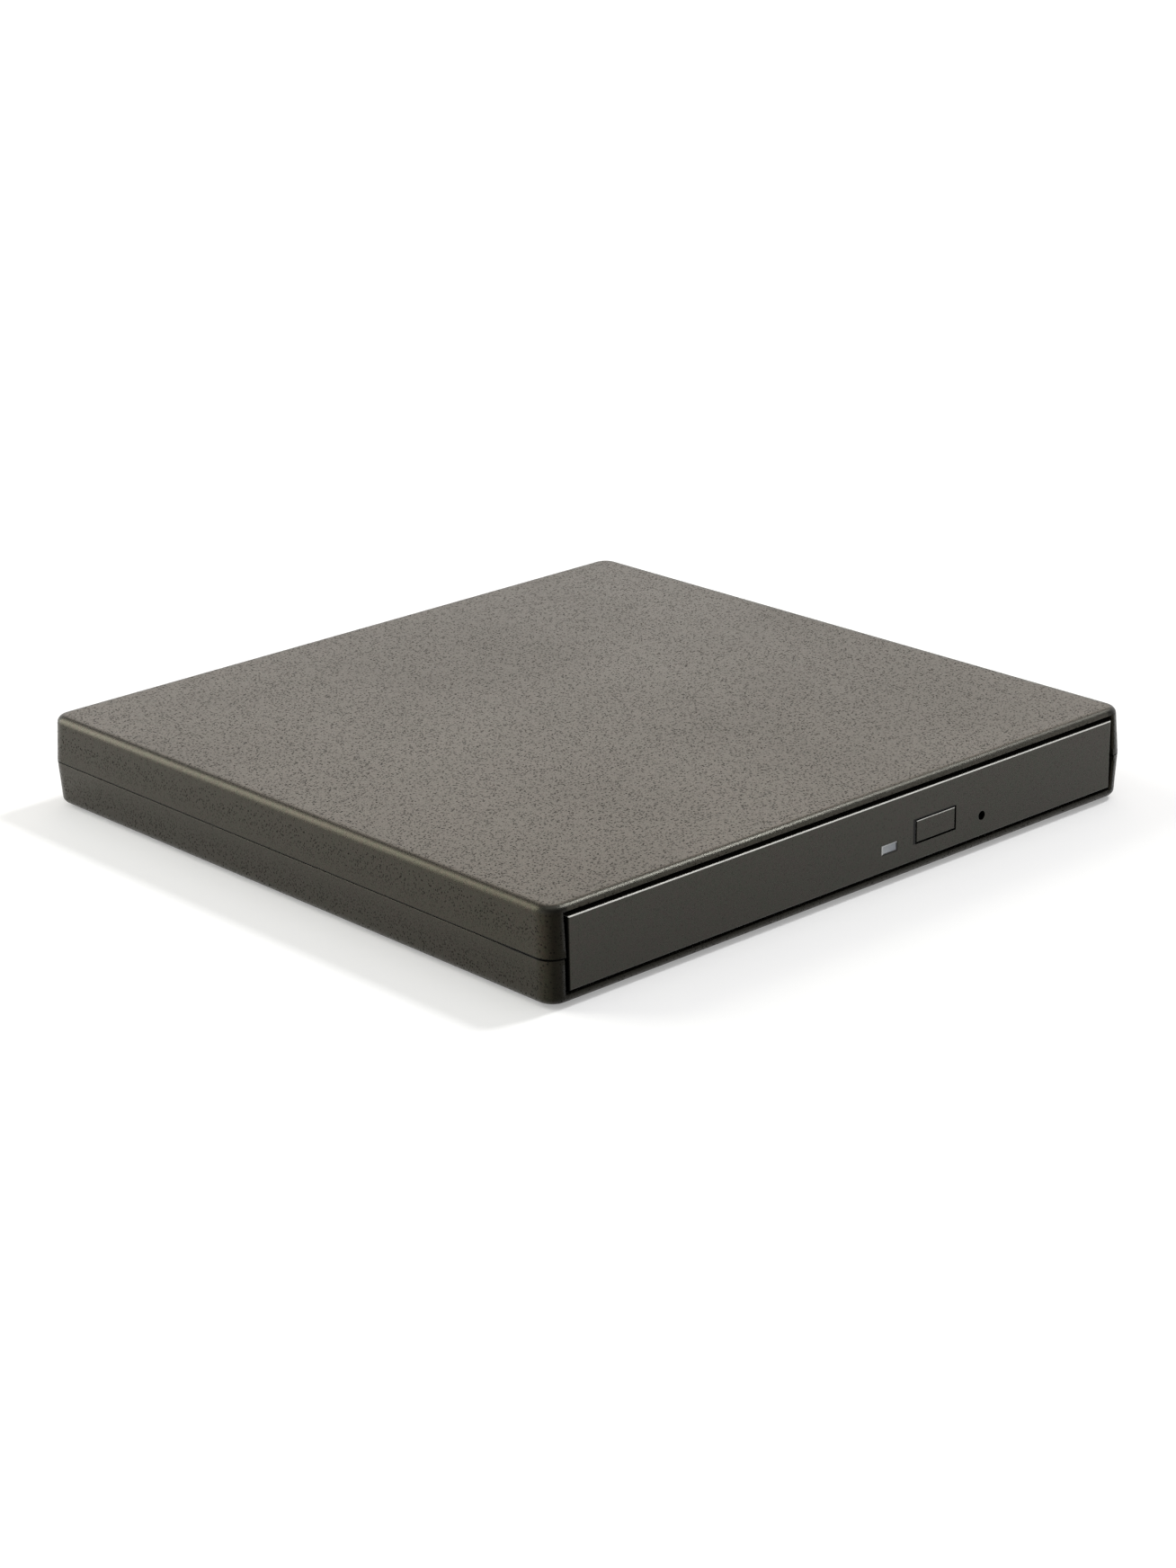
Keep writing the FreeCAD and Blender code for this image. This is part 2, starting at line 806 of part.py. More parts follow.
def main_board():
    rear = pan_inner_rear - 0.3
    z0, z1 = main_board_z, main_board_top
    board = box(-pan_inner + 0.6, board_x0 - 6, drive_rear - main_board_depth, rear, z0, z1)
    arm = box(board_x0 - 6, board_x1, connector_front - 4.2, plug_mouth_y - 0.3, z0, z1)
    return fused(board, arm)


def main_chips():
    chips = []
    for from_side, from_rear, width, depth in main_chips_places:
        x = -pan_inner + 0.6 + from_side
        y = drive_rear - from_rear
        chips.append(box(x, x + width, y - depth, y, main_board_top, main_board_top + chip_height))
    return Part.makeCompound(chips)


def flex_connector():
    w = cable_width / 2 + 1
    return box(cable_x - w, cable_x + w, cable_y0, cable_y1, main_board_top, main_board_top + chip_height)


def flex_cable():
    """A flat cable that runs forward over the pan's floor, folds back and ends under the tray's deck."""
    t = cable_thickness
    low = main_board_top + 0.2
    high = deck_under - cable_gap - t
    bend = (high + t - low) / 2
    middle = low + bend

    def run(y0, y1, z0, z1):
        return Part.makeLine(V(0, y0, z0), V(0, y1, z1))

    def fold(radius, z0, z1):
        y = cable_fold_y
        return Part.Arc(V(0, y, z0), V(0, y - radius, middle), V(0, y, z1)).toShape()

    edges = [
        run(cable_y0, cable_fold_y, low, low),
        fold(bend, low, high + t),
        run(cable_fold_y, cable_y0, high + t, high + t),
        run(cable_y0, cable_y0, high + t, high),
        run(cable_y0, cable_fold_y, high, high),
        fold(bend - t, high, low + t),
        run(cable_fold_y, cable_y0, low + t, low + t),
        run(cable_y0, cable_y0, low + t, low),
    ]
    face = Part.Face(Part.Wire(edges))
    face.translate(V(cable_x - cable_width / 2, 0, 0))
    return face.extrude(V(cable_width, 0, 0))


def latch_post():
    return post(post_radius, post_x, post_y, pan_floor, latch_z + latch_thickness + 0.2)


# Tray

def cover_outline():
    """Corners of the dress cover, in u and v."""
    near = rotor_radius + 6
    low = -rod_v - 5.5
    high = screw_v + 1
    cut = cover_corner
    tip = rod_v - 1.5
    left = [(-near, low + cut), (-near + cut, low)]
    far = [(cover_far - 14.5, low), (cover_far, -tip), (cover_far, tip), (cover_far - 7.5, high)]
    return left + far + [(-near + cut, high), (-near, high - cut)]


def cover_prism(d, z0, z1):
    """The dress cover's outline, moved out by d on every side, as a solid."""
    points = cover_outline()
    face = Part.Face(Part.makePolygon([V(u, v, z0) for u, v in points + points[:1]]))
    if d:
        face = Part.Face(face.OuterWire.makeOffset2D(d, 2))
    return on_traverse(face.extrude(V(0, 0, z1 - z0)))


def damper_places():
    near = (1 - rotor_radius, -rod_v - 3)
    return [near, (frame_far - 16.3, -rod_v - 5.1), (frame_far - 6.3, screw_v + 0.9)]


def tray_shell():
    half = guide_inner - deck_gap
    deck = box(-half, half, bezel_back, tray_rear, deck_rail_z, tray_top)
    hull = box(-tray_side, tray_side, bezel_back, tray_rear, skirt_z, deck_rail_z)
    w = tray_side - tray_wall
    inside = box(-w, w, bezel_back + tray_front_wall, tray_rear - tray_wall, skirt_z - 1, deck_under)
    tray = fused(hull.cut(inside), deck)
    small = small_disc_radius + recess_clearance
    tray = tray.cut(post(recess_radius, centre.x, centre.y, recess_z, tray_top + 1))
    return tray.cut(post(small, centre.x, centre.y, small_recess_z, tray_top + 1))


def tray_tongues():
    z = tongue_height / 2
    return both_sides(box(tray_side - 0.2, rail_inner + tongue_depth, rail_front, rail_end - tongue_short,
                          rail_z - z, rail_z + z))


def tray_opening():
    """The hole in the tray's deck, under the dress cover, for the rotor and the lens."""
    hub = post(rotor_radius + 1, 0, 0, deck_under - 1, tray_top)
    half = lane_half + 1.5
    return on_traverse(hub.fuse(box(0, lane_u1 + 1, -half, half, deck_under - 1, tray_top)))


def front_windows():
    """Middle x, middle z, width and height of the tray's front holes behind the bezel's controls."""
    stem = stem_width + 2 * window_gap
    pin = 2 * pin_hole_radius + 0.4
    return [
        (button_x, button_z, stem, stem),
        (lamp_x, lamp_z, lamp_width + 0.4, lamp_height + 0.6),
        (pin_hole_x, pin_hole_z, pin, pin),
    ]


def tray():
    body = tray_shell()
    body = body.cut(cover_prism(cover_gap, cover_z, tray_top + 1)).cut(tray_opening())
    root = deck_under + 0.3
    bosses = []
    for u, v in damper_places():
        w = damper_radius
        bosses.append(on_traverse(box(u - w, u + w, v - w, v + w, plate_top + damper_height, root)))
    w = ejector_block_width / 2
    for y0, y1 in ((block_y0, block_y1), (tray_rear - tray_wall, tray_rear)):
        bosses.append(box(ejector_x - w, ejector_x + w, y0, y1, ejector_z - 2.2, root))
    w = latch_boss / 2
    z = latch_z + latch_thickness + 0.1
    bosses.append(box(latch_x - w, latch_x + w, latch_y - w, latch_y + w, z, root))
    x = lamp_x - lamp_width / 2 - 2.95
    bosses.append(box(x, x + 2, bezel_back + 1.5, bezel_back + 9, front_board_top, root))
    body = fused(body, *bosses, *tray_tongues())
    bar = ejector_bar + 2 * plunger_gap
    body = body.cut(block(ejector_x, ejector_z, bar, bar, block_y0 - 1, tray_rear + 1))
    body = body.cut(latch_pin_root(latch_z))
    y = bezel_back + tray_front_wall + 0.5
    for x, z, width, height in front_windows():
        body = body.cut(block(x, z, width, height, bezel_back - 1, y))
    y = connector_front - 0.8
    body = body.cut(box(board_x0 - 3, tray_side + 3, y, tray_rear + 1, 0, notch_top + 0.4))
    z = main_board_top + chip_height + 0.6
    body = body.cut(box(-tray_side + tray_wall, board_x0, tray_rear - tray_wall - 1, tray_rear + 1, 0, z))
    for angle in scoop_angles:
        a = math.radians(angle)
        x, y = recess_radius * math.cos(a), centre.y - recess_radius * math.sin(a)
        body = body.cut(post(scoop_radius, x, y, recess_z, tray_top + 1))
    return body


def bezel():
    half = drive_half
    z0, z1 = bezel_z0, bezel_z1
    outer = box(-half, half, bezel_front, bezel_back, z0, z1)
    x = half - bezel_rim
    inside = box(-x, x, bezel_front + bezel_plate, bezel_back + 1, z0 + bezel_rim, z1 - bezel_rim)
    body = outer.cut(inside)
    body = body.makeFillet(bezel_edge_radius, edges_at(body, lambda b: b.YMax < bezel_front + 1e-4))
    w = bezel_rib / 2
    ribs = [box(x - w, x + w, bezel_front + 1, bezel_back, z0 + 0.5, z1 - 0.5) for x in bezel_rib_places]
    body = fused(body, *ribs)
    openings = [
        (button_x, button_z, button_width + 2 * button_gap, button_height + 2 * button_gap),
        (lamp_x, lamp_z, lamp_width + 2 * lamp_gap, lamp_height + 2 * lamp_gap),
    ]
    for x, z, width, height in openings:
        body = body.cut(block(x, z, width, height, bezel_front - 1, bezel_back))
    start = V(pin_hole_x, bezel_front - 1, pin_hole_z)
    return body.cut(rod(pin_hole_radius, start, V(0, 1, 0), bezel_thickness + 2))


def eject_button():
    back = bezel_front + bezel_plate
    cap = block(button_x, button_z, button_width, button_height, bezel_front, back + 0.2)
    cap = cap.makeFillet(button_edge_radius, edges_at(cap, lambda b: b.YMax < bezel_front + 1e-4))
    width, height = button_width + 2 * button_flange, button_height + 1.5 * button_flange
    flange = block(button_x, button_z, width, height, back + 0.05, back + 0.05 + button_flange_sheet)
    stem = block(button_x, button_z, stem_width, stem_width, back, stem_tip)
    return fused(cap, flange, stem)


def eject_switch():
    nub = block(button_x, button_z, switch_nub, switch_nub, switch_face, switch_face + 0.6)
    w = switch_size / 2
    y = switch_face + 0.5
    body = box(button_x - w, button_x + w, y, y + switch_depth, front_board_top, button_z + 1.6)
    return fused(body, nub)


def tray_board():
    x0 = lamp_x - lamp_width / 2 - 3.95
    y0, y1 = front_board_y, front_board_y + front_board_length
    return box(x0, button_x + 3.5, y0, y1, front_board_z, front_board_top)


def status_lamp():
    return block(lamp_x, lamp_z, lamp_width, lamp_height, bezel_front + 0.02, bezel_back + lamp_pipe)


def lamp_diode():
    w = diode_width / 2
    y = bezel_back + lamp_pipe + 0.3
    return box(lamp_x - w, lamp_x + w, y, y + diode_length, front_board_top, lamp_z + 0.8)


# Latch that holds the tray shut, and the ejector that pushes it out

def latch_lever():
    """The lever as released, turned just clear of the post that it catches when it springs back."""
    z0, z1 = latch_z, latch_z + latch_thickness
    half = latch_arm_width / 2
    tip = latch_y + latch_reach
    arm = box(latch_x - half, latch_x + half, latch_y, tip, z0, z1)
    eye = post(half + 0.4, latch_x, latch_y, z0, z1)
    claw = box(latch_x + half - 0.2, post_x - post_radius + claw_hold, tip - claw_depth, tip, z0, z1)
    tab = box(latch_x, pin_hole_x + 1.3, latch_y - 0.7, latch_y + 0.7, z0, z1)
    lever = fused(arm, eye, claw, tab)
    lever = lever.cut(post(latch_pin_radius + latch_pin_gap, latch_x, latch_y, z0 - 1, z1 + 1))
    lever.rotate(V(latch_x, latch_y, 0), UP, latch_release)
    return lever


def latch_pin_root(z0):
    """The pin's square upper end, sunk in the tray's boss."""
    w = latch_root / 2
    return box(latch_x - w, latch_x + w, latch_y - w, latch_y + w, z0, deck_under - 0.4)


def latch_pin():
    w = 1.6 * latch_pin_radius
    head = box(latch_x - w, latch_x + w, latch_y - w, latch_y + w, latch_z - 0.5, latch_z - 0.1)
    z1 = latch_z + latch_thickness + 0.1
    return fused(head, post(latch_pin_radius, latch_x, latch_y, latch_z - 0.5, z1), latch_pin_root(z1))


def plunger_bore(length):
    return rod(plunger_radius + plunger_gap, V(coil_x0 - 2, plunger_y, plunger_z), V(1, 0, 0), length)


def solenoid_plunger():
    length = coil_x1 - 5 - plunger_x
    return rod(plunger_radius, V(plunger_x, plunger_y, plunger_z), V(1, 0, 0), length)


def solenoid_yoke():
    w = yoke_width / 2
    y, z = plunger_y, plunger_z
    outer = box(coil_x0 - yoke_sheet, coil_x1 + yoke_sheet, y - w, y + w, z - yoke_drop, deck_under)
    room = box(coil_x0, coil_x1, y - w - 1, y + w + 1, z - yoke_drop - 1, deck_under - yoke_sheet)
    return outer.cut(room).cut(plunger_bore(coil_offset / 2))


def solenoid_coil():
    w = coil_radius
    x0, x1 = coil_x0 + coil_gap, coil_x1 - coil_gap
    body = box(x0, x1, plunger_y - w, plunger_y + w, plunger_z - coil_drop, coil_top)
    return body.cut(plunger_bore(coil_length - 1.5))


def ejector_slider():
    start = block_y0 - 1 - ejector_travel
    bar = block(ejector_x, ejector_z, ejector_bar, ejector_bar, start, pan_inner_rear - 0.1)
    w = 2 * spring_radius + 0.9
    collar = block(ejector_x, ejector_z, w, w, collar_y, collar_y + 1)
    return fused(bar, collar)


def ejector_spring():
    """A compression spring between the tray's block and the slider's collar, as one unbroken wire."""
    start, end = block_y1 + spring_wire, collar_y - spring_wire
    half = spring_wire / 2
    count = spring_turns * spring_steps
    sections = []
    for k in range(count + 1):
        a = 2 * math.pi * k / spring_steps
        y = start + (end - start) * k / count
        points = []
        for dr, dy in ((half, half), (-half, half), (-half, -half), (half, -half)):
            r = spring_radius + dr
            points.append(V(ejector_x + r * math.cos(a), y + dy, ejector_z + r * math.sin(a)))
        sections.append(Part.makePolygon(points + points[:1]))
    return Part.makeLoft(sections, True, True)


# Traverse: motor, rods, sled and lens

def frame_outline():
    """Corners of the frame plate, in u and v."""
    near = rotor_radius + 4
    low = -rod_v - 7.5
    high = screw_v + 3.5
    tip = rod_v + 1.5
    left = [(-near, 3 - near), (6 - near, low)]
    far = [(frame_far - 14.3, low), (frame_far, -tip), (frame_far, tip), (frame_far - 3.8, high)]
    return left + far + [(8 - near, high), (-near, near - 3)]


def rod_holders():
    """Upright blocks at the ends of both guide rods."""
    blocks = []
    w = rod_holder_width / 2
    for v in (-rod_v, rod_v):
        for u in (rod_u0 + 0.4, rod_u1 - rod_holder_length - 0.1):
            blocks.append(box(u, u + rod_holder_length, v - w, v + w, plate_top, rod_z + 1.5))
    return blocks


def traverse_frame():
    plate = plate_of(frame_outline(), plate_z, plate_top)
    half = rod_v - 2
    plate = plate.cut(box(sled_u0 - 0.9, frame_far - 3.3, -half, half, plate_z - 1, plate_top + 1))
    w = lead_radius + 0.6
    lead_end = box(lead_u1 - 0.2, lead_u1 + 1.4, screw_v - w, screw_v + w, plate_top, rod_z + 1.3)
    frame = fused(plate, *rod_holders(), lead_end)
    for v in (-rod_v, rod_v):
        frame = frame.cut(box(0, frame_far, v - rod_radius, v + rod_radius, rod_z - rod_radius, rod_z + 5))
    w = lead_radius + slide_gap
    frame = frame.cut(box(lead_u1 - 1, lead_u1 + 0.9, screw_v - w, screw_v + w, rod_z - w, rod_z + 5))
    return on_traverse(frame.cut(post(bearing_radius + 0.02, 0, 0, plate_z - 1, plate_top + 1)))


def guide_rod(v):
    return on_traverse(rod(rod_radius, V(rod_u0 + 0.1, v, rod_z), V(1, 0, 0), rod_u1 - rod_u0 - 0.2))


def dampers():
    """Rubber pucks between the frame plate and the tray's bosses."""
    height = plate_top + damper_height
    pucks = [on_traverse(stub(damper_radius, u, v, plate_top, height)) for u, v in damper_places()]
    return Part.makeCompound(pucks)


def traverse_cover():
    cover = cover_prism(0, cover_z, small_recess_z)
    hub = on_traverse(post(rotor_radius + 0.7, 0, 0, cover_z - 1, small_recess_z + 1))
    slot = on_traverse(box(lane_u0, lane_u1, -lane_half, lane_half, cover_z - 1, small_recess_z + 1))
    return cover.cut(hub).cut(slot)


def motor_bearing():
    tube = ring(bearing_radius, shaft_radius + shaft_gap, 0, 0, bearing_z0, bearing_z1)
    return on_traverse(fused(tube, post(bearing_radius, 0, 0, bearing_z0 - bearing_cap, bearing_z0)))


def motor_stator():
    """A ring of T-shaped poles round the bearing."""
    reach = rotor_radius - stator_gap
    arm_w, shoe_w = pole_width / 2, shoe_width / 2
    poles = []
    for k in range(pole_count):
        arm = box(bearing_radius + 1.6, reach - 0.6, -arm_w, arm_w, stator_z0, stator_z1)
        shoe = box(reach - shoe_depth, reach, -shoe_w, shoe_w, stator_z0, stator_z1)
        pole = arm.fuse(shoe)
        pole.rotate(V(0, 0, 0), UP, k * 360.0 / pole_count)
        poles.append(pole)
    hub = ring(bearing_radius + stator_hub, bearing_radius, 0, 0, stator_z0, stator_z1)
    return on_traverse(fused(hub, *poles))


def spindle_rotor():
    """The steel cup that turns round the stator, with the shaft in its middle."""
    cup = post(rotor_radius, 0, 0, rotor_z0, rotor_z1)
    hollow = post(rotor_radius - rotor_wall, 0, 0, rotor_z0 - 1, rotor_z1 - rotor_top)
    shaft = post(shaft_radius, 0, 0, bearing_z0 + 0.05, rotor_z1 - rotor_top / 2)
    return on_traverse(fused(cup.cut(hollow), shaft))


def claw_angle(k):
    return k * 360.0 / claw_count + claw_turn


def chuck_hub():
    """The plastic hub that centres the disc, slotted for the claws."""
    hub = post(hub_radius, 0, 0, rotor_z1, hub_top)
    cone = Part.makeCone(hub_radius, disc_hole_radius - hub_cone_inset, hub_cone, V(0, 0, hub_top), UP)
    body = fused(hub, cone)
    w = claw_width / 2 + claw_gap
    for k in range(claw_count):
        slot = box(claw_root - 0.8, disc_hole_radius + 1, -w, w, rotor_z1 + 0.3, hub_top + 1)
        slot.rotate(V(0, 0, 0), UP, claw_angle(k))
        body = body.cut(slot)
    return on_traverse(body)


def disc_pad():
    outer = rotor_radius - pad_inset
    return on_traverse(ring(outer, outer - pad_width, 0, 0, rotor_z1, disc_z))


def disc_claw(k):
    """One sprung claw, with a ramped nose, that grips the disc's hole from inside."""
    r, z0, z1 = disc_hole_radius, rotor_z1 + 0.4, disc_z + disc_thickness
    nose = [(r - 0.4, z1 - 0.5), (r + 0.05, z1 - 0.15), (r - 0.5, z1 + 0.3)]
    side = [(claw_root, z0), (r - 0.4, z0)] + nose + [(claw_root, z1 + 0.1)]
    face = Part.Face(Part.makePolygon([V(u, -claw_width / 2, z) for u, z in side + side[:1]]))
    claw = face.extrude(V(0, claw_width, 0))
    claw.rotate(V(0, 0, 0), UP, claw_angle(k))
    return on_traverse(claw)


def pickup_sled():
    """A body between the rods, bored for the main rod and forked round the side rod."""
    inner = rod_v - 3
    outer = rod_v + 2.5
    z0, z1 = sled_z0 + 0.2, sled_z1 - arm_drop
    body = box(sled_u0, sled_u1, -inner, inner, sled_z0, sled_z1)
    main_arm = box(sled_u0, sled_u1, inner - 0.5, outer, z0, z1)
    fork = box(sled_u0 + 4, sled_u1 - 4, -outer, 0.5 - inner, z0, z1)
    sled = fused(body, main_arm, fork)
    r = rod_radius + slide_gap
    sled = sled.cut(rod(r, V(0, rod_v, rod_z), V(1, 0, 0), frame_far))
    sled = sled.cut(box(0, frame_far, -rod_v - 4, r - rod_v, rod_z - r, rod_z + r))
    w = holder_width / 2 + 1.6
    sled = sled.cut(box(lens_u - 5.6, lens_u + 5, -w, w, holder_z0 - 0.8, sled_z1 + 1))
    optics = box(sled_u0 + 1, sled_u0 + 2.2, 1 - inner, -w - 0.2, sled_z0 - 1, sled_z1 + 1)
    return on_traverse(sled.cut(optics))


def lens_holder():
    half = holder_width / 2
    middle = lens_u - 0.2
    along = holder_length / 2
    body = box(middle - along, middle + along, -half, half, holder_z0, holder_z1)
    for v in (-0.75 * half, 0.75 * half):
        body = body.cut(box(lens_u - 2.4, lens_u + 2, v - 0.8, v + 0.8, holder_z0 - 1, holder_z1 + 1))
    return on_traverse(body.cut(post(lens_radius, lens_u, 0, holder_z1 - 0.6, holder_z1 + 2)))


def objective_lens():
    z = holder_z1 - 0.6
    top = 0.75 * lens_radius
    return on_traverse(Part.makeCone(lens_radius, top, lens_height + 0.6, V(lens_u, 0, z), UP))


def sled_motor():
    start = V(lead_u0 - sled_motor_length - 0.4, screw_v, rod_z)
    can = rod(sled_motor_radius, start, V(1, 0, 0), sled_motor_length)
    can = can.common(box(-disc_radius, disc_radius, 0, disc_radius, plate_top, motor_top))
    w = sled_motor_radius
    end = box(lead_u0 - 0.8, lead_u0 - 0.1, screw_v - w, screw_v + w, plate_top, motor_top)
    bore = rod(lead_pin_radius + shaft_gap, V(lead_u0 - 2, screw_v, rod_z), V(1, 0, 0), 3)
    return on_traverse(fused(can, end).cut(bore))


def lead_screw():
    core = rod(lead_radius, V(lead_u0 + 0.3, screw_v, rod_z), V(1, 0, 0), lead_u1 - lead_u0 + 0.5)
    pin = rod(lead_pin_radius, V(lead_u0 - 1.8, screw_v, rod_z), V(1, 0, 0), 3)
    return on_traverse(fused(core, pin))


def sled_nut():
    """The follower that joins the sled to the lead screw."""
    u0 = sled_u0 + 0.5
    edge = screw_v - lead_radius - nut_gap
    z = rod_z - nut_height / 2
    return on_traverse(box(u0, u0 + nut_length, rod_v + 2.5, edge, z, z + nut_height))


MAKERS = {
    "case_top": case_top,
    "case_bottom": case_bottom,
    "case_feet": case_feet,
    "case_screws": case_screws,
    "bridge_board": bridge_board,
    "bridge_plug": bridge_plug,
    "bridge_chips": bridge_chips,
    "usb_socket_shell": usb_socket_shell,
    "usb_socket_tongue": usb_socket_tongue,
    "drive_chassis": drive_chassis,
    "drive_lid": drive_lid,
    "drive_connector": drive_connector,
    "main_board": main_board,
    "main_chips": main_chips,
    "flex_connector": flex_connector,
    "flex_cable": flex_cable,
    "latch_post": latch_post,
    "rail_guide_left": lambda: mirrored(guide_channel()),
    "rail_guide_right": guide_channel,
    "slide_rail_left": lambda: mirrored(slide_rail()),
    "slide_rail_right": slide_rail,
    "tray": tray,
    "bezel": bezel,
    "eject_button": eject_button,
    "eject_switch": eject_switch,
    "tray_board": tray_board,
    "status_lamp": status_lamp,
    "lamp_diode": lamp_diode,
    "latch_lever": latch_lever,
    "latch_pin": latch_pin,
    "solenoid_plunger": solenoid_plunger,
    "solenoid_yoke": solenoid_yoke,
    "solenoid_coil": solenoid_coil,
    "ejector_slider": ejector_slider,
    "ejector_spring": ejector_spring,
    "traverse_frame": traverse_frame,
    "guide_rod_main": lambda: guide_rod(rod_v),
    "guide_rod_side": lambda: guide_rod(-rod_v),
    "dampers": dampers,
    "traverse_cover": traverse_cover,
    "motor_bearing": motor_bearing,
    "motor_stator": motor_stator,
    "spindle_rotor": spindle_rotor,
    "chuck_hub": chuck_hub,
    "disc_pad": disc_pad,
    "disc_claw_1": lambda: disc_claw(0),
    "disc_claw_2": lambda: disc_claw(1),
    "disc_claw_3": lambda: disc_claw(2),
    "pickup_sled": pickup_sled,
    "lens_holder": lens_holder,
    "objective_lens": objective_lens,
    "sled_motor": sled_motor,
    "lead_screw": lead_screw,
    "sled_nut": sled_nut,
}


def build():
    os.makedirs("parts", exist_ok=True)
    for name, make in MAKERS.items():
        shape = make()
        solids = shape.Solids
        if not solids or not shape.isValid():
            raise ValueError(f"{name} is not a sound solid")
        shape.exportStep(f"parts/{name}.step")
        print(f"{name}: {len(solids)} solids, {sum(s.Volume for s in solids):.2f} mm3")


build()
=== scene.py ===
import json
import math

import bmesh
import bpy
from mathutils import Matrix, Vector


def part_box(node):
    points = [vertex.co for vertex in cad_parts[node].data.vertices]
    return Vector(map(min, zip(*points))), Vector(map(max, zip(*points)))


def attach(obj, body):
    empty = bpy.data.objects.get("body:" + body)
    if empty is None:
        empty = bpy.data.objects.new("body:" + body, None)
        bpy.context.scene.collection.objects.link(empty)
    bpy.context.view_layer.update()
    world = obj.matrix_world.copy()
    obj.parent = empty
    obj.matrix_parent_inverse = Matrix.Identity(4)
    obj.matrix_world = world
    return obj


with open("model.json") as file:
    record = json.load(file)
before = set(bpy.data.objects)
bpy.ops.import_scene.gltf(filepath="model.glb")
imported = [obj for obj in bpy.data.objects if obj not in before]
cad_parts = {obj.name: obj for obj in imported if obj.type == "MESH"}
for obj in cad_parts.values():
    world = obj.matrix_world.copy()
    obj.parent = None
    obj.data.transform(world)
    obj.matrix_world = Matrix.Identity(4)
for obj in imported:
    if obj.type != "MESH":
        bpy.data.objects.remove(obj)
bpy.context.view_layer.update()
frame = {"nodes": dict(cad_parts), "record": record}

MM = 0.001
WHITE = (1.0, 1.0, 1.0)


def box_of(node):
    """A node's lower and upper corners in millimetres."""
    return [[value / MM for value in corner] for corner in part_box(node)]


def middle_of(node):
    """The middle of a node's box, in metres."""
    low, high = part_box(node)
    return [(a + b) / 2 for a, b in zip(low, high)]


# Places measured in the frame, in millimetres

BEZEL_LOW, BEZEL_HIGH = box_of("bezel")
BUTTON_LOW, BUTTON_HIGH = box_of("eject_button")
CASE_TOP_LOW = box_of("case_top")[0]
# The case's shut parting line, from and to
PARTING = CASE_TOP_LOW[2] + 0.07
SEAM = (PARTING - 0.20, PARTING + 0.02)
# The top of the narrow sill in front of the bezel's lower edge, which lies in its shade
SILL = BEZEL_LOW[2]
# The case's front plane, and where its narrow pillars beside the bezel start
FRONT = CASE_TOP_LOW[1]
BESIDE = BEZEL_HIGH[0]
# The button's cap is this much smaller on each side than the flange behind it
BUTTON_FLANGE = 0.8
BUTTON_LEFT = BUTTON_LOW[0] + BUTTON_FLANGE
BUTTON_RIGHT = BUTTON_HIGH[0] - BUTTON_FLANGE
BUTTON_FOOT = BUTTON_LOW[2] + 0.6
BUTTON_TOP = (BEZEL_LOW[2] + BEZEL_HIGH[2]) / 2 + 0.85
# Painted shade in the gap round the button, on its left and upper sides: from x, to x, from z, to z
BUTTON_SHADES = (
    (BUTTON_LEFT - 0.75, BUTTON_LEFT, BUTTON_FOOT - 0.15, BUTTON_TOP + 0.35),
    (BUTTON_LEFT - 0.75, BUTTON_RIGHT, BUTTON_TOP, BUTTON_TOP + 0.4),
)

# The places of upright axes, in metres

AXLE = middle_of("spindle_rotor")
LENS = middle_of("objective_lens")


# Node trees

def set_range(node, source, target):
    """Sets what a Map Range node maps, from and to."""
    for key, number in zip(("From Min", "From Max", "To Min", "To Max"), (*source, *target)):
        node.inputs[key].default_value = number


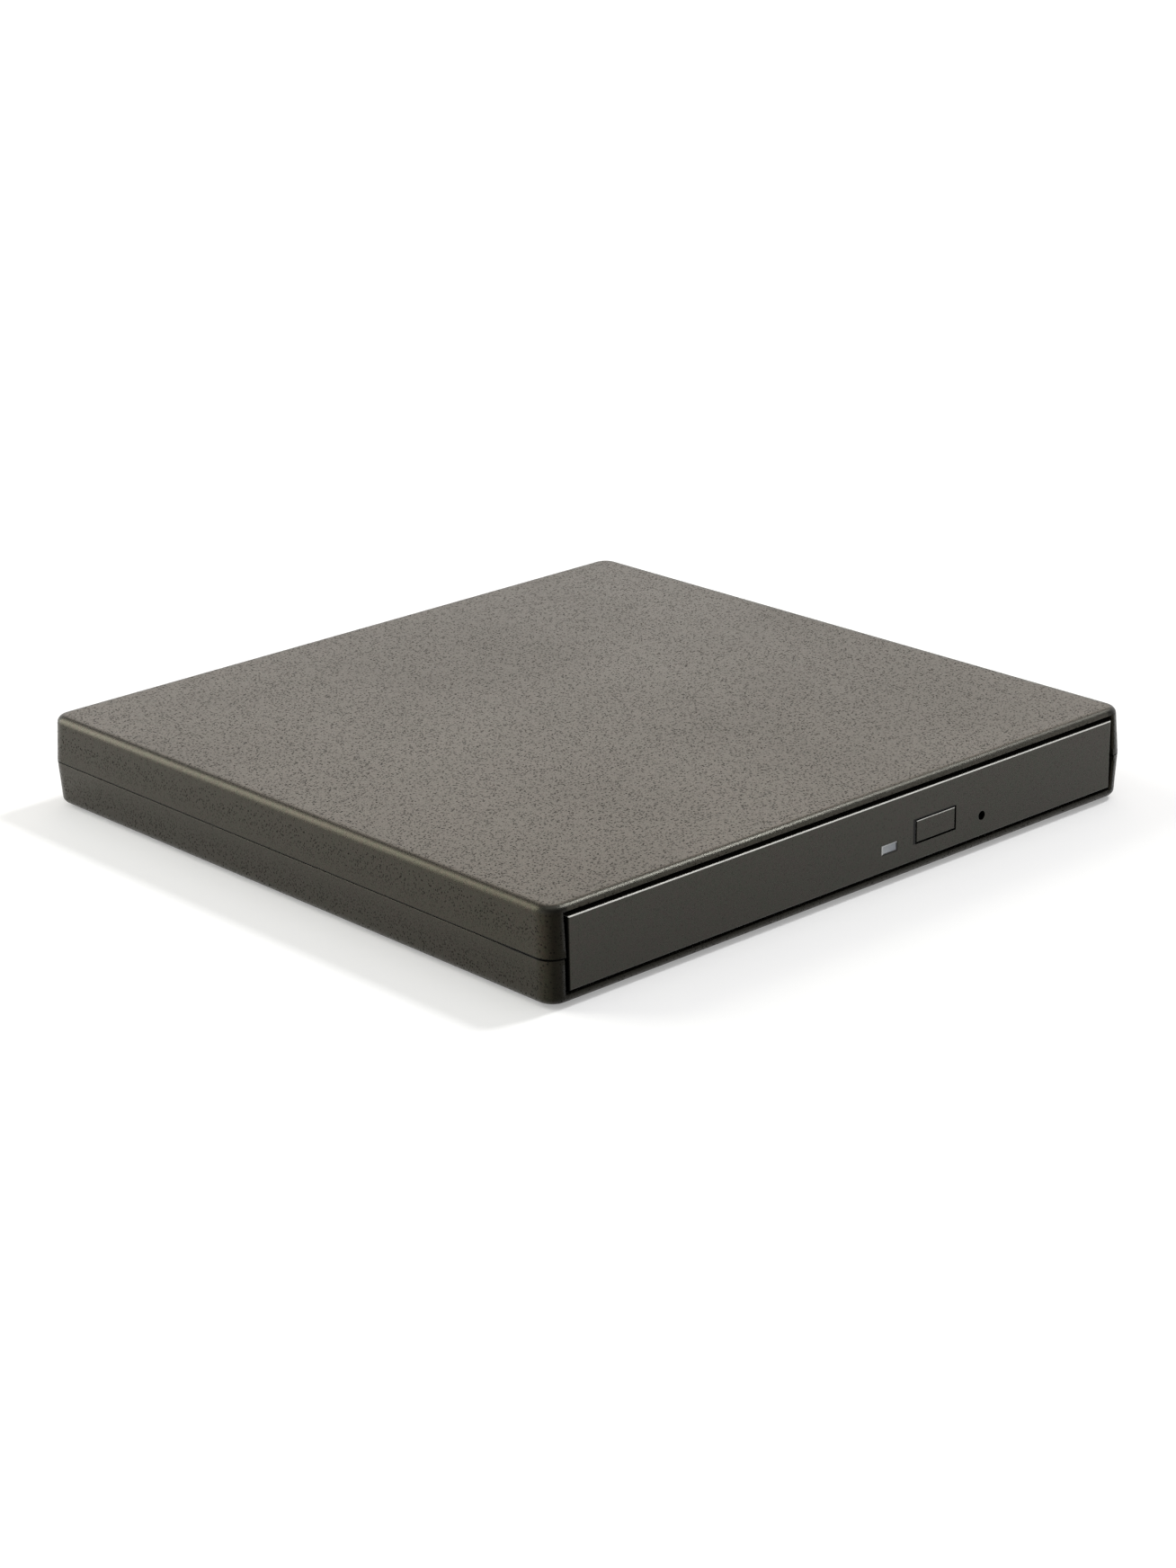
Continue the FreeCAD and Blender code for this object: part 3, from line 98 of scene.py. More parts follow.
class Graph:
    """A material's node tree, with short calls for the nodes that every finish here uses."""

    def __init__(self, name):
        self.material = bpy.data.materials.new(name)
        self.material.use_nodes = True
        self.tree = self.material.node_tree
        self.tree.nodes.clear()
        self.output = self.add("ShaderNodeOutputMaterial")
        self.shader = self.add("ShaderNodeBsdfPrincipled")
        self.link(self.shader.outputs["BSDF"], self.output.inputs["Surface"])
        self.place = self.add("ShaderNodeTexCoord").outputs["Object"]

    def add(self, kind):
        return self.tree.nodes.new(kind)

    def link(self, start, end):
        self.tree.links.new(start, end)

    def set(self, node, **values):
        for key, value in values.items():
            socket = node.inputs[key.replace("_", " ")]
            if isinstance(value, bpy.types.NodeSocket):
                self.link(value, socket)
            else:
                socket.default_value = value

    def scaled(self, x, y, z):
        """The place, stretched by a factor along each axis."""
        node = self.add("ShaderNodeMapping")
        node.inputs["Scale"].default_value = (x, y, z)
        self.link(self.place, node.inputs["Vector"])
        return node.outputs["Vector"]

    def noise(self, size, detail=2.0, rough=0.5, place=None):
        """Noise with features of about that size in millimetres."""
        node = self.add("ShaderNodeTexNoise")
        self.set(node, Scale=1.0 / (size * MM), Detail=detail, Roughness=rough)
        self.link(place or self.place, node.inputs["Vector"])
        return node.outputs["Fac"]

    def cells(self, size):
        """Distance to the nearest of points scattered that many millimetres apart, as a share of that."""
        node = self.add("ShaderNodeTexVoronoi")
        self.set(node, Scale=1.0 / (size * MM))
        self.link(self.place, node.inputs["Vector"])
        return node.outputs["Distance"]

    def specks(self, size, radius, share):
        """Round specks, a share of the points having one, each of its own strength."""
        node = self.add("ShaderNodeTexVoronoi")
        self.set(node, Scale=1.0 / (size * MM))
        self.link(self.place, node.inputs["Vector"])
        split = self.add("ShaderNodeSeparateColor")
        self.link(node.outputs["Color"], split.inputs[0])
        spot = self.ramp(node.outputs["Distance"], radius, radius * 0.45)
        return self.times(spot, self.ramp(split.outputs[0], 1.0 - share, 1.0))

    def ramp(self, value, low, high, out_low=0.0, out_high=1.0):
        node = self.add("ShaderNodeMapRange")
        node.clamp = True
        self.link(value, node.inputs["Value"])
        set_range(node, (low, high), (out_low, out_high))
        return node.outputs["Result"]

    def math(self, kind, a, b=0.0):
        node = self.add("ShaderNodeMath")
        node.operation = kind
        for k, value in enumerate((a, b)):
            if isinstance(value, bpy.types.NodeSocket):
                self.link(value, node.inputs[k])
            else:
                node.inputs[k].default_value = value
        return node.outputs[0]

    def times(self, a, b):
        return self.math("MULTIPLY", a, b)

    def mix(self, share, a, b):
        """From colour a to colour b as share goes from 0 to 1."""
        node = self.add("ShaderNodeMix")
        node.data_type = "RGBA"
        for k, value in ((0, share), (6, a), (7, b)):
            if isinstance(value, bpy.types.NodeSocket):
                self.link(value, node.inputs[k])
            elif k:
                node.inputs[k].default_value = (*value, 1.0)
            else:
                node.inputs[k].default_value = value
        return node.outputs[2]

    def blend(self, share, a, b):
        """From vector a to vector b as share goes from 0 to 1."""
        node = self.add("ShaderNodeMix")
        node.data_type = "VECTOR"
        for k, value in ((0, share), (4, a), (5, b)):
            self.link(value, node.inputs[k])
        return node.outputs[1]

    def bump(self, height, depth, normal=None, strength=None):
        """A bump of that depth in millimetres."""
        node = self.add("ShaderNodeBump")
        node.inputs["Strength"].default_value = 1.0
        if strength:
            self.link(strength, node.inputs["Strength"])
        node.inputs["Distance"].default_value = depth * MM
        self.link(height, node.inputs["Height"])
        if normal:
            self.link(normal, node.inputs["Normal"])
        return node.outputs["Normal"]

    def rounded(self, radius):
        """The surface's normal, with sharp edges rounded by that many millimetres."""
        bevel = self.add("ShaderNodeBevel")
        bevel.samples = 6
        bevel.inputs["Radius"].default_value = radius * MM
        return bevel.outputs["Normal"]

    def edges(self, radius):
        """About 1 within that many millimetres of a sharp edge and 0 on flat faces."""
        geometry = self.add("ShaderNodeNewGeometry")
        dot = self.add("ShaderNodeVectorMath")
        dot.operation = "DOT_PRODUCT"
        self.link(self.rounded(radius), dot.inputs[0])
        self.link(geometry.outputs["Normal"], dot.inputs[1])
        return self.ramp(dot.outputs["Value"], 0.995, 0.8)

    def facing(self, radius, axis, low, high):
        """0 to 1 as the surface's normal, rounded over that many millimetres, turns towards an axis."""
        node = self.add("ShaderNodeSeparateXYZ")
        self.link(self.rounded(radius), node.inputs[0])
        return self.ramp(node.outputs[axis], low, high)

    def radius(self, middle):
        """Distance from an upright axis through a place, in metres."""
        node = self.add("ShaderNodeMapping")
        node.inputs["Location"].default_value = (-middle[0], -middle[1], 0.0)
        node.inputs["Scale"].default_value = (1.0, 1.0, 0.0)
        self.link(self.place, node.inputs["Vector"])
        length = self.add("ShaderNodeVectorMath")
        length.operation = "LENGTH"
        self.link(node.outputs["Vector"], length.inputs[0])
        return length.outputs["Value"]

    def rings(self, middle, size):
        """Noise in rings round an upright axis, each about that many millimetres wide."""
        node = self.add("ShaderNodeTexNoise")
        node.noise_dimensions = "1D"
        self.set(node, W=self.radius(middle), Scale=1.0 / (size * MM), Detail=3.0, Roughness=0.6)
        return node.outputs["Fac"]

    def axis(self, letter):
        node = self.add("ShaderNodeSeparateXYZ")
        self.link(self.place, node.inputs[0])
        return node.outputs[letter]

    def band(self, letter, low, high, soft=0.06):
        """1 between two places along an axis, in millimetres, with soft borders."""
        place = self.axis(letter)
        rise = self.ramp(place, (low - soft) * MM, low * MM)
        fall = self.ramp(place, high * MM, (high + soft) * MM, 1.0, 0.0)
        return self.times(rise, fall)

    def finish(self, colour, roughness, normal=None):
        self.set(self.shader, Base_Color=colour, Roughness=roughness)
        if normal:
            self.link(normal, self.shader.inputs["Normal"])
        return self.material


def tint(colour, factor):
    """The colour made lighter or darker."""
    return tuple(min(c * factor, 1.0) for c in colour)


def toned(colour, factors):
    """The colour with each of its channels scaled."""
    return tuple(c * s for c, s in zip(colour, factors))


# Moulded plastic: sizes in millimetres, then shares

BROAD_SIZE = 38.0
CLOUD_SIZE = 5.0
RUB_SIZE = 3.0
RUB_REACH = 0.35
# The radii to which the front's upper edge and the seam's edges are rounded
FRONT_ROUND = 0.9
SEAM_ROUND = 0.08
# The strip along the front where the first is used: from and to behind the front plane, and its soft border
FRONT_BAND = (-1.0, 2.5)
FRONT_BORDER = 1.2
# Near the front the seam's painted shade reaches lower, as if the seam gaped a little: where behind the
# front plane it starts to and where it fully does, and by how much
GAPE_SHADE_BAND = (18.0, 9.0)
GAPE_SHADE_DEPTH = 0.16
# What a place in shade keeps of its colour and of its sheen, and what the seam keeps of its colour
SHADED = 0.1
SEAM_SHADED = 0.12
# What the skin keeps of its grain where it turns over an edge
TURNED_GRAIN = 0.15
# How much the sill and the pillars round the bezel lie in shade
SILL_SHADE = 0.6
PILLAR_SHADE = 0.8
# The front's upper edge: how much rougher it is, the tint of its sheen and how much of that tint it takes
FRONT_ROUGHER = 0.045
FRONT_SHEEN = (1.0, 1.0, 0.86)
FRONT_SHEEN_SHARE = 0.8
# A painted highlight on the seam's lower lip: from and to below the seam, and how much of its colour it
# takes
LIP_HIGHLIGHT_BAND = (0.14, 0.04)
LIP_HIGHLIGHT_SHARE = 0.8


class Skin(Graph):
    """Moulded plastic with a spark-eroded skin, whose grain is that many millimetres wide."""

    def __init__(self, name, colour, gloss, grain, speck, edge):
        super().__init__(name)
        self.colour = colour
        self.gloss = gloss
        self.grain = grain
        self.speck = speck
        self.soft = self.rounded(edge)
        self.strength = None
        self.broad = self.noise(BROAD_SIZE, 3.0)
        self.cloud = self.noise(CLOUD_SIZE, 2.0)
        self.fine = self.noise(grain, 3.0, 0.65)
        self.dark = self.specks(grain * 1.8, 0.52, 0.7)
        self.light = self.specks(grain * 1.6, 0.45, 0.6)
        self.dent = self.times(self.dark, min(speck * 2.6, 1.0))

    def soften(self, seam):
        """Rounds the front's upper edge, keeps the seam crisp and smooths the skin where it turns over."""
        low, high = seam
        front = self.band("Y", FRONT + FRONT_BAND[0], FRONT + FRONT_BAND[1], FRONT_BORDER)
        self.soft = self.blend(front, self.soft, self.rounded(FRONT_ROUND))
        self.soft = self.blend(self.band("Z", low - 1.0, high + 1.0), self.soft, self.rounded(SEAM_ROUND))
        split = self.add("ShaderNodeSeparateXYZ")
        self.link(self.soft, split.inputs[0])
        upward = split.outputs["Z"]
        turned = self.times(self.ramp(upward, 0.2, 0.45), self.ramp(upward, 0.99, 0.93))
        self.strength = self.ramp(turned, 0.0, 1.0, 1.0, TURNED_GRAIN)
        self.dent = self.times(self.dent, self.strength)
        self.front_edge = self.times(turned, front)

    def paint(self, roughness, worn):
        """Sets the plain skin's colour, roughness and sheen."""
        warm = toned(self.colour, (1.15, 0.98, 1.0))
        green = toned(self.colour, (0.92, 1.02, 0.86))
        base = self.mix(self.ramp(self.cloud, 0.35, 0.65), warm, green)
        base = self.mix(self.ramp(self.broad, 0.3, 0.7, 0.0, 0.6), base, tint(self.colour, 1.15))
        base = self.mix(self.times(self.dent, 0.45), base, tint(self.colour, 0.1))
        base = self.mix(self.times(self.light, self.speck), base, tint(self.colour, 3.0))
        rub = self.times(self.edges(RUB_REACH), self.ramp(self.noise(RUB_SIZE, 4.0, 0.7), 0.42, 0.7))
        self.base = self.mix(self.times(rub, 0.35), base, tint(self.colour, worn * 1.8))
        rough = self.ramp(self.fine, 0.25, 0.75, roughness - 0.06, roughness + 0.06)
        rough = self.math("ADD", rough, self.ramp(self.broad, 0.3, 0.7, -0.03, 0.03))
        rough = self.math("SUBTRACT", rough, self.times(rub, 0.12))
        self.rough = self.math("ADD", rough, self.times(self.dent, 0.65))
        rosy = toned(self.gloss, (1.05, 0.95, 0.97))
        leafy = toned(self.gloss, (0.93, 1.03, 0.95))
        shine = self.mix(self.ramp(self.noise(self.grain * 3.5, 2.0), 0.35, 0.65), rosy, leafy)
        self.shine = self.mix(self.dent, shine, tint(self.gloss, 0.12))

    def shade(self, share, kept=SHADED):
        """Darkens a place by how much it lies in shade."""
        self.base = self.mix(share, self.base, tint(self.colour, kept))
        self.shine = self.mix(share, self.shine, tint(self.gloss, SHADED))

    def shade_case(self, seam):
        """Paints shade in the shut seam, a highlight on the seam's lower lip, and shade on the sill and the
        pillars round the bezel.
        """
        low, high = seam
        self.rough = self.math("ADD", self.rough, self.times(self.front_edge, FRONT_ROUGHER))
        self.shine = self.mix(self.times(self.front_edge, FRONT_SHEEN_SHARE), self.shine, FRONT_SHEEN)
        # Painted highlight on the seam's lower lip
        lip = self.times(self.band("Z", low - LIP_HIGHLIGHT_BAND[0], low - LIP_HIGHLIGHT_BAND[1]), LIP_HIGHLIGHT_SHARE)
        self.base = self.mix(lip, self.base, SEAM_LIP_HIGHLIGHT)
        # Painted shade in the shut seam, which reaches lower near the front
        near = self.ramp(self.axis("Y"), (FRONT + GAPE_SHADE_BAND[0]) * MM, (FRONT + GAPE_SHADE_BAND[1]) * MM)
        gape_shade = self.times(near, self.band("Z", low - GAPE_SHADE_DEPTH, high, 0.04))
        shut = self.math("MAXIMUM", self.band("Z", low, high, 0.03), gape_shade)
        # Painted shade on the front-facing sill under the bezel
        sill = self.times(self.band("Z", -0.5, SILL), self.facing(0.12, "Y", -0.8, -0.95))
        hidden = self.math("MAXIMUM", shut, self.times(sill, SILL_SHADE))
        # Painted shade on the front-facing pillars beside the bezel
        beside = self.ramp(self.math("ABSOLUTE", self.axis("X")), (BESIDE - 0.6) * MM, BESIDE * MM)
        pillar = self.times(beside, self.facing(0.3, "Y", -0.35, -0.8))
        self.shade(self.math("MAXIMUM", hidden, self.times(pillar, PILLAR_SHADE)), SEAM_SHADED)

    def paint_rim_shade_and_highlight(self, rim, crown):
        """Paints shade on the sides of a front that stands in an opening, and a highlight on its upper edge.
        """
        upper = self.ramp(self.band("Z", rim - 0.03, rim + 0.5, 0.02), 0.0, 1.0, 1.0, 1.0 - crown)
        turned = self.times(self.facing(0.06, "Z", 0.15, 0.4), self.facing(0.06, "Z", 0.9, 0.75))
        above = self.times(turned, self.band("Z", rim - 0.5, rim + 0.1))
        self.shade(self.times(self.facing(0.12, "Y", -0.97, -0.8), upper))
        # Painted highlight along the upper edge
        self.base = self.mix(above, self.base, RIM_HIGHLIGHT)
        self.shine = self.mix(above, self.shine, self.gloss)

    def close(self, depth):
        """Joins all that was set to the shader, with a skin of that depth in millimetres."""
        pebbles = self.math("ADD", self.fine, self.times(self.light, 0.5))
        pebbles = self.math("SUBTRACT", pebbles, self.dark)
        self.link(self.shine, self.shader.inputs["Specular Tint"])
        return self.finish(self.base, self.rough, self.bump(pebbles, depth, self.soft, self.strength))


def moulded(name, colour, roughness, grain, depth, speck, worn=1.6, edge=0.25, gloss=WHITE, seam=None,
            rim=None, crown=0.0, shades=()):
    """Moulded plastic with a spark-eroded skin.

    grain and depth: the width and the depth of the skin's features in millimetres
    speck, worn: how strongly these show, and how much lighter rubbed edges are
    edge: the radius to which edges look rounded
    seam: the height of a parting gap, from and to
    rim, crown: the height of a front's upper edge, which gets a painted highlight, and what its upper side
    keeps of the colour
    shades: places on a front painted in shade, each from x, to x, from z, to z
    """
    skin = Skin(name, colour, gloss, grain, speck, edge)
    if seam:
        skin.soften(seam)
    skin.paint(roughness, worn)
    if seam:
        skin.shade_case(seam)
    if rim:
        skin.paint_rim_shade_and_highlight(rim, crown)
    # Painted shade in each of these places
    for x0, x1, z0, z1 in shades:
        skin.shade(skin.times(skin.band("X", x0, x1, 0.04), skin.band("Z", z0, z1, 0.04)))
    return skin.close(depth)


def sheet_metal(name, colour, roughness, spangle):
    """Zinc-plated or plain steel sheet, with faint crystal patches, drawing lines and rubbed edges."""
    g = Graph(name)
    patches = g.cells(spangle)
    lines = g.noise(0.35, 2.0, 0.6, g.scaled(0.03, 1.0, 1.0))
    base = g.mix(g.ramp(patches, 0.0, 0.8), tint(colour, 0.86), tint(colour, 1.06))
    base = g.mix(g.ramp(lines, 0.3, 0.7, 0.0, 0.25), base, tint(colour, 0.72))
    stain = g.ramp(g.noise(14.0, 4.0, 0.6), 0.55, 0.75, 0.0, 0.35)
    base = g.mix(stain, base, tint(toned(colour, (1.0, 0.95, 0.86)), 0.7))
    base = g.mix(g.times(g.edges(0.2), 0.4), base, tint(colour, 1.3))
    rough = g.math("ADD", g.ramp(lines, 0.3, 0.7, roughness - 0.08, roughness + 0.1), g.times(stain, 0.15))
    g.shader.inputs["Metallic"].default_value = 1.0
    return g.finish(base, rough, g.bump(lines, 0.006))


def turned_metal(name, colour, roughness):
    """Ground or turned metal with fine rings and a little oil film."""
    g = Graph(name)
    rings = g.noise(0.25, 2.0, 0.55, g.scaled(1.0, 1.0, 0.12))
    film = g.noise(4.0, 3.0)
    base = g.mix(g.ramp(rings, 0.3, 0.7), tint(colour, 0.84), tint(colour, 1.08))
    base = g.mix(g.ramp(film, 0.5, 0.75, 0.0, 0.3), base, tint(toned(colour, (1.0, 0.97, 0.88)), 0.8))
    g.shader.inputs["Metallic"].default_value = 1.0
    rough = g.ramp(rings, 0.3, 0.7, roughness - 0.06, roughness + 0.08)
    rough = g.math("ADD", rough, g.ramp(film, 0.4, 0.7, 0.0, 0.08))
    return g.finish(base, rough, g.bump(rings, 0.004))


def spun_metal(name, colour, roughness, middle):
    """Sheet metal drawn and spun round an upright axis, with fine rings and a few fingermarks."""
    g = Graph(name)
    rings = g.rings(middle, 0.3)
    marks = g.ramp(g.noise(5.0, 4.0, 0.6), 0.5, 0.72, 0.0, 0.5)
    base = g.mix(g.ramp(rings, 0.3, 0.7), tint(colour, 0.8), tint(colour, 1.08))
    base = g.mix(marks, base, tint(colour, 0.72))
    g.shader.inputs["Metallic"].default_value = 1.0
    rough = g.math("ADD", g.ramp(rings, 0.3, 0.7, roughness - 0.05, roughness + 0.07), g.times(marks, 0.12))
    return g.finish(base, rough, g.bump(rings, 0.004))


def painted_metal(name, colour, roughness):
    """Sheet or cast metal with a thin coat of paint, a little dust on it and chipped edges."""
    g = Graph(name)
    peel = g.noise(0.6, 2.0)
    dust = g.noise(9.0, 5.0, 0.7)
    base = g.mix(g.ramp(g.noise(22.0, 3.0), 0.3, 0.7), tint(colour, 0.85), tint(colour, 1.2))
    base = g.mix(g.ramp(dust, 0.55, 0.8, 0.0, 0.22), base, DUST)
    chips = g.times(g.edges(0.15), g.ramp(g.noise(1.2, 4.0, 0.7), 0.5, 0.62))
    base = g.mix(g.times(chips, 0.7), base, BARE_METAL)
    return g.finish(base, g.ramp(peel, 0.3, 0.7, roughness - 0.05, roughness + 0.08), g.bump(peel, 0.012))


def rubber(name, colour):
    """Matte rubber with a fine grain and pale dust."""
    g = Graph(name)
    grain = g.noise(0.3, 4.0, 0.7)
    dust = g.ramp(g.noise(3.0, 5.0, 0.7), 0.45, 0.8, 0.0, 0.4)
    base = g.mix(g.ramp(g.noise(8.0), 0.3, 0.7), tint(colour, 0.8), tint(colour, 1.3))
    base = g.mix(dust, base, tint(colour, 3.2))
    g.shader.inputs["Specular IOR Level"].default_value = 0.3
    return g.finish(base, g.ramp(grain, 0.2, 0.8, 0.72, 0.92), g.bump(grain, 0.03))


def circuit_board(name, mask_colour, copper):
    """Solder mask over copper tracks, with scattered bare vias."""
    g = Graph(name)
    lanes = g.add("ShaderNodeTexBrick")
    g.set(lanes, Scale=1.0 / (14.0 * MM), Mortar_Size=0.035, Brick_Width=0.9, Row_Height=0.11)
    g.link(g.place, lanes.inputs["Vector"])
    for key, value in (("Color1", 0.0), ("Color2", 0.0), ("Mortar", 1.0)):
        lanes.inputs[key].default_value = (value, value, value, 1.0)
    track = lanes.outputs["Color"]
    vias = g.ramp(g.cells(2.6), 0.09, 0.05)
    base = g.mix(g.ramp(g.noise(12.0, 3.0), 0.3, 0.7), tint(mask_colour, 0.85), tint(mask_colour, 1.15))
    base = g.mix(g.times(track, 0.55), base, tint(mask_colour, 1.9))
    base = g.mix(vias, base, copper)
    height = g.math("ADD", track, g.times(vias, 0.5))
    g.shader.inputs["Coat Weight"].default_value = 0.25
    rough = g.ramp(g.noise(0.8, 3.0), 0.3, 0.7, 0.3, 0.42)
    return g.finish(base, rough, g.bump(height, 0.02))


def lens(name, middle, glass, flange, radius):
    """A coated lens of that radius in millimetres, with the frosted flange that holds it round it."""
    g = Graph(name)
    out = g.radius(middle)
    frost = g.ramp(out, radius * MM, (radius + 0.12) * MM)
    deep = g.ramp(out, 0.0, radius * MM)
    base = g.mix(deep, glass, tint(glass, 2.4))
    base = g.mix(g.ramp(g.noise(1.5), 0.4, 0.7, 0.0, 0.15), base, tint(glass, 1.6))
    base = g.mix(frost, base, flange)
    g.shader.inputs["IOR"].default_value = 1.6
    g.shader.inputs["Coat Weight"].default_value = 0.8
    g.shader.inputs["Coat Tint"].default_value = (0.75, 0.8, 1.0, 1.0)
    return g.finish(base, g.ramp(frost, 0.0, 1.0, 0.06, 0.4))


def lit_window(name, node, left, right):
    """A frosted window over a light pipe, with painted shadow along its right and lower sides and a painted
    highlight on its left and upper lips.
    """
    g = Graph(name)
    low, high = box_of(node)
    veil = g.noise(0.5, 3.0)
    base = g.mix(g.ramp(g.axis("X"), low[0] * MM, high[0] * MM), left, right)
    base = g.mix(g.ramp(veil, 0.3, 0.7, 0.0, 0.3), base, tint(right, 0.8))
    # Painted shadow along the window's right and lower sides
    shadow_right = g.band("X", high[0] - 0.28, high[0] + 1.0)
    shadow_below = g.band("Z", low[2] - 1.0, low[2] + 0.16)
    base = g.mix(g.math("MAXIMUM", shadow_right, shadow_below), base, SHADOW_BLACK)
    # Painted highlight on the window's left and upper lips
    highlight_left = g.band("X", low[0] - 1.0, low[0] + 0.3)
    highlight_above = g.band("Z", high[2] - 0.14, high[2] + 1.0)
    base = g.mix(g.times(g.math("MAXIMUM", highlight_left, highlight_above), 0.7), base, WINDOW_HIGHLIGHT)
    return g.finish(base, g.ramp(veil, 0.3, 0.7, 0.3, 0.42), g.bump(veil, 0.002))


def flat_cable(name, film, copper, pitch, turn=0.0):
    """Polyimide film with copper lanes that run along Y, or turned from it by an angle in degrees."""
    g = Graph(name)
    angle = math.radians(turn)
    across = g.math("ADD", g.times(g.axis("X"), math.cos(angle)), g.times(g.axis("Y"), math.sin(angle)))
    wave = g.math("SINE", g.times(across, 2 * math.pi / (pitch * MM)))
    lane = g.ramp(wave, -0.1, 0.3)
    base = g.mix(g.times(lane, 0.8), film, copper)
    base = g.mix(g.ramp(g.noise(7.0, 3.0), 0.5, 0.8, 0.0, 0.3), base, tint(film, 0.5))
    g.shader.inputs["Coat Weight"].default_value = 0.4
    return g.finish(base, g.ramp(g.noise(2.0), 0.3, 0.7, 0.25, 0.4), g.bump(lane, 0.02))


def wound(name, wire, core):
    """Enamelled wire in close turns over a lacquered core."""
    g = Graph(name)
    turns = g.noise(0.22, 1.0, 0.4, g.scaled(0.25, 0.25, 1.6))
    base = g.mix(g.ramp(turns, 0.35, 0.65), tint(wire, 0.55), tint(wire, 1.25))
    base = g.mix(g.ramp(g.noise(2.2, 2.0), 0.5, 0.62), base, core)
    g.shader.inputs["Metallic"].default_value = 0.6
    g.shader.inputs["Coat Weight"].default_value = 0.5
    return g.finish(base, g.ramp(turns, 0.3, 0.7, 0.3, 0.5), g.bump(turns, 0.05))


# Colours

CASE = (0.0125, 0.0112, 0.0092)
BEZEL = (0.0145, 0.0138, 0.0122)
WARM = (0.72, 0.64, 0.45)
SLATE = (0.79, 0.75, 0.64)
# A painted highlight on upper edges
RIM_HIGHLIGHT = (0.8, 0.8, 0.76)
# A painted highlight on the seam's lower lip
SEAM_LIP_HIGHLIGHT = (0.035, 0.033, 0.028)
DUST = (0.2, 0.19, 0.17)
BARE_METAL = (0.45, 0.44, 0.42)
# Painted shadow in the lamp window's gaps, and a painted highlight on its lips
SHADOW_BLACK = (0.004, 0.004, 0.004)
WINDOW_HIGHLIGHT = (0.62, 0.63, 0.62)
CABLE_FILM = (0.42, 0.17, 0.03)
CABLE_COPPER = (0.6, 0.31, 0.11)
FLOOR_PAINT = (0.74, 0.74, 0.74)

# The finish of each material slot in the frame

FINISHES = {
    "case_plastic": moulded("case_skin", CASE, roughness=0.28, grain=0.22, depth=0.018, speck=0.4,
                            edge=1.5, gloss=WARM, seam=SEAM),
    "bezel_plastic": moulded("bezel_skin", BEZEL, roughness=0.28, grain=0.2, depth=0.003, speck=0.14,
                             edge=0.15, gloss=SLATE, rim=BEZEL_HIGH[2], crown=0.8, shades=BUTTON_SHADES),
    "button_plastic": moulded("button_skin", BEZEL, roughness=0.28, grain=0.2, depth=0.003, speck=0.14,
                              edge=0.15, gloss=SLATE, rim=BUTTON_TOP),
    "tray_plastic": moulded("tray_skin", (0.022, 0.022, 0.022), roughness=0.55, grain=0.25, depth=0.01,
                            speck=0.16),
    "hub_plastic": moulded("hub_skin", (0.018, 0.018, 0.018), roughness=0.42, grain=0.2, depth=0.004,
                           speck=0.1),
    "holder_plastic": moulded("holder_skin", (0.02, 0.02, 0.021), roughness=0.5, grain=0.2, depth=0.005,
                              speck=0.1),
    "connector_plastic": moulded("connector_skin", (0.025, 0.025, 0.026), roughness=0.4, grain=0.3,
                                 depth=0.005, speck=0.12),
    "chip": moulded("chip_epoxy", (0.022, 0.022, 0.023), roughness=0.6, grain=0.18, depth=0.008, speck=0.2),
    "rail_plastic": moulded("rail_acetal", (0.42, 0.41, 0.38), roughness=0.38, grain=0.5, depth=0.006,
                            speck=0.05, worn=1.05),
    "lever_plastic": moulded("lever_acetal", (0.5, 0.49, 0.45), roughness=0.36, grain=0.5, depth=0.006,
                             speck=0.05, worn=1.05),
    "foot_rubber": rubber("foot_skin", (0.022, 0.022, 0.022)),
    "damper_rubber": rubber("damper_skin", (0.03, 0.03, 0.034)),
    "pad_rubber": rubber("pad_skin", (0.035, 0.035, 0.035)),
    "sheet_steel": sheet_metal("zinc_sheet", (0.55, 0.56, 0.57), roughness=0.36, spangle=5.0),
    "frame_steel": sheet_metal("plated_frame", (0.5, 0.51, 0.52), roughness=0.38, spangle=3.0),
    "rail_steel": sheet_metal("rail_steel", (0.5, 0.5, 0.51), roughness=0.32, spangle=8.0),
    "connector_steel": sheet_metal("nickel_shell", (0.62, 0.6, 0.56), roughness=0.25, spangle=4.0),
    "spring_steel": turned_metal("spring_wire", (0.55, 0.55, 0.55), roughness=0.28),
    "screw_steel": turned_metal("black_screw", (0.06, 0.06, 0.065), roughness=0.38),
    "rod_steel": turned_metal("ground_rod", (0.68, 0.68, 0.69), roughness=0.16),
    "rotor_steel": spun_metal("rotor_cup", (0.6, 0.6, 0.6), roughness=0.26, middle=AXLE),
    "bearing_brass": turned_metal("bearing_brass", (0.55, 0.42, 0.18), roughness=0.3),
    "sled_metal": painted_metal("sled_casting", (0.32, 0.32, 0.33), roughness=0.5),
    "cover_paint": painted_metal("cover_paint", (0.022, 0.022, 0.024), roughness=0.5),
    "board": circuit_board("board_mask", (0.015, 0.1, 0.045), copper=(0.6, 0.42, 0.16)),
    "lamp_window": lit_window("lamp_lens", "status_lamp", left=(0.43, 0.45, 0.46), right=(0.24, 0.26, 0.30)),
    "lens_glass": lens("lens_glass", LENS, glass=(0.012, 0.018, 0.045), flange=(0.2, 0.21, 0.23),
                       radius=1.75),
    "cable_film": flat_cable("cable_film", (0.5, 0.22, 0.04), copper=(0.62, 0.33, 0.12), pitch=1.0),
    "winding": wound("winding_wire", (0.5, 0.19, 0.06), core=(0.08, 0.09, 0.08)),
}


def dress_nodes():
    """Gives every node of the frame the finish of its slot."""
    for part in frame["record"]["subparts"]:
        mesh = frame["nodes"][part["node"]].data
        mesh.materials.clear()
        mesh.materials.append(FINISHES[part["material_slot"]])


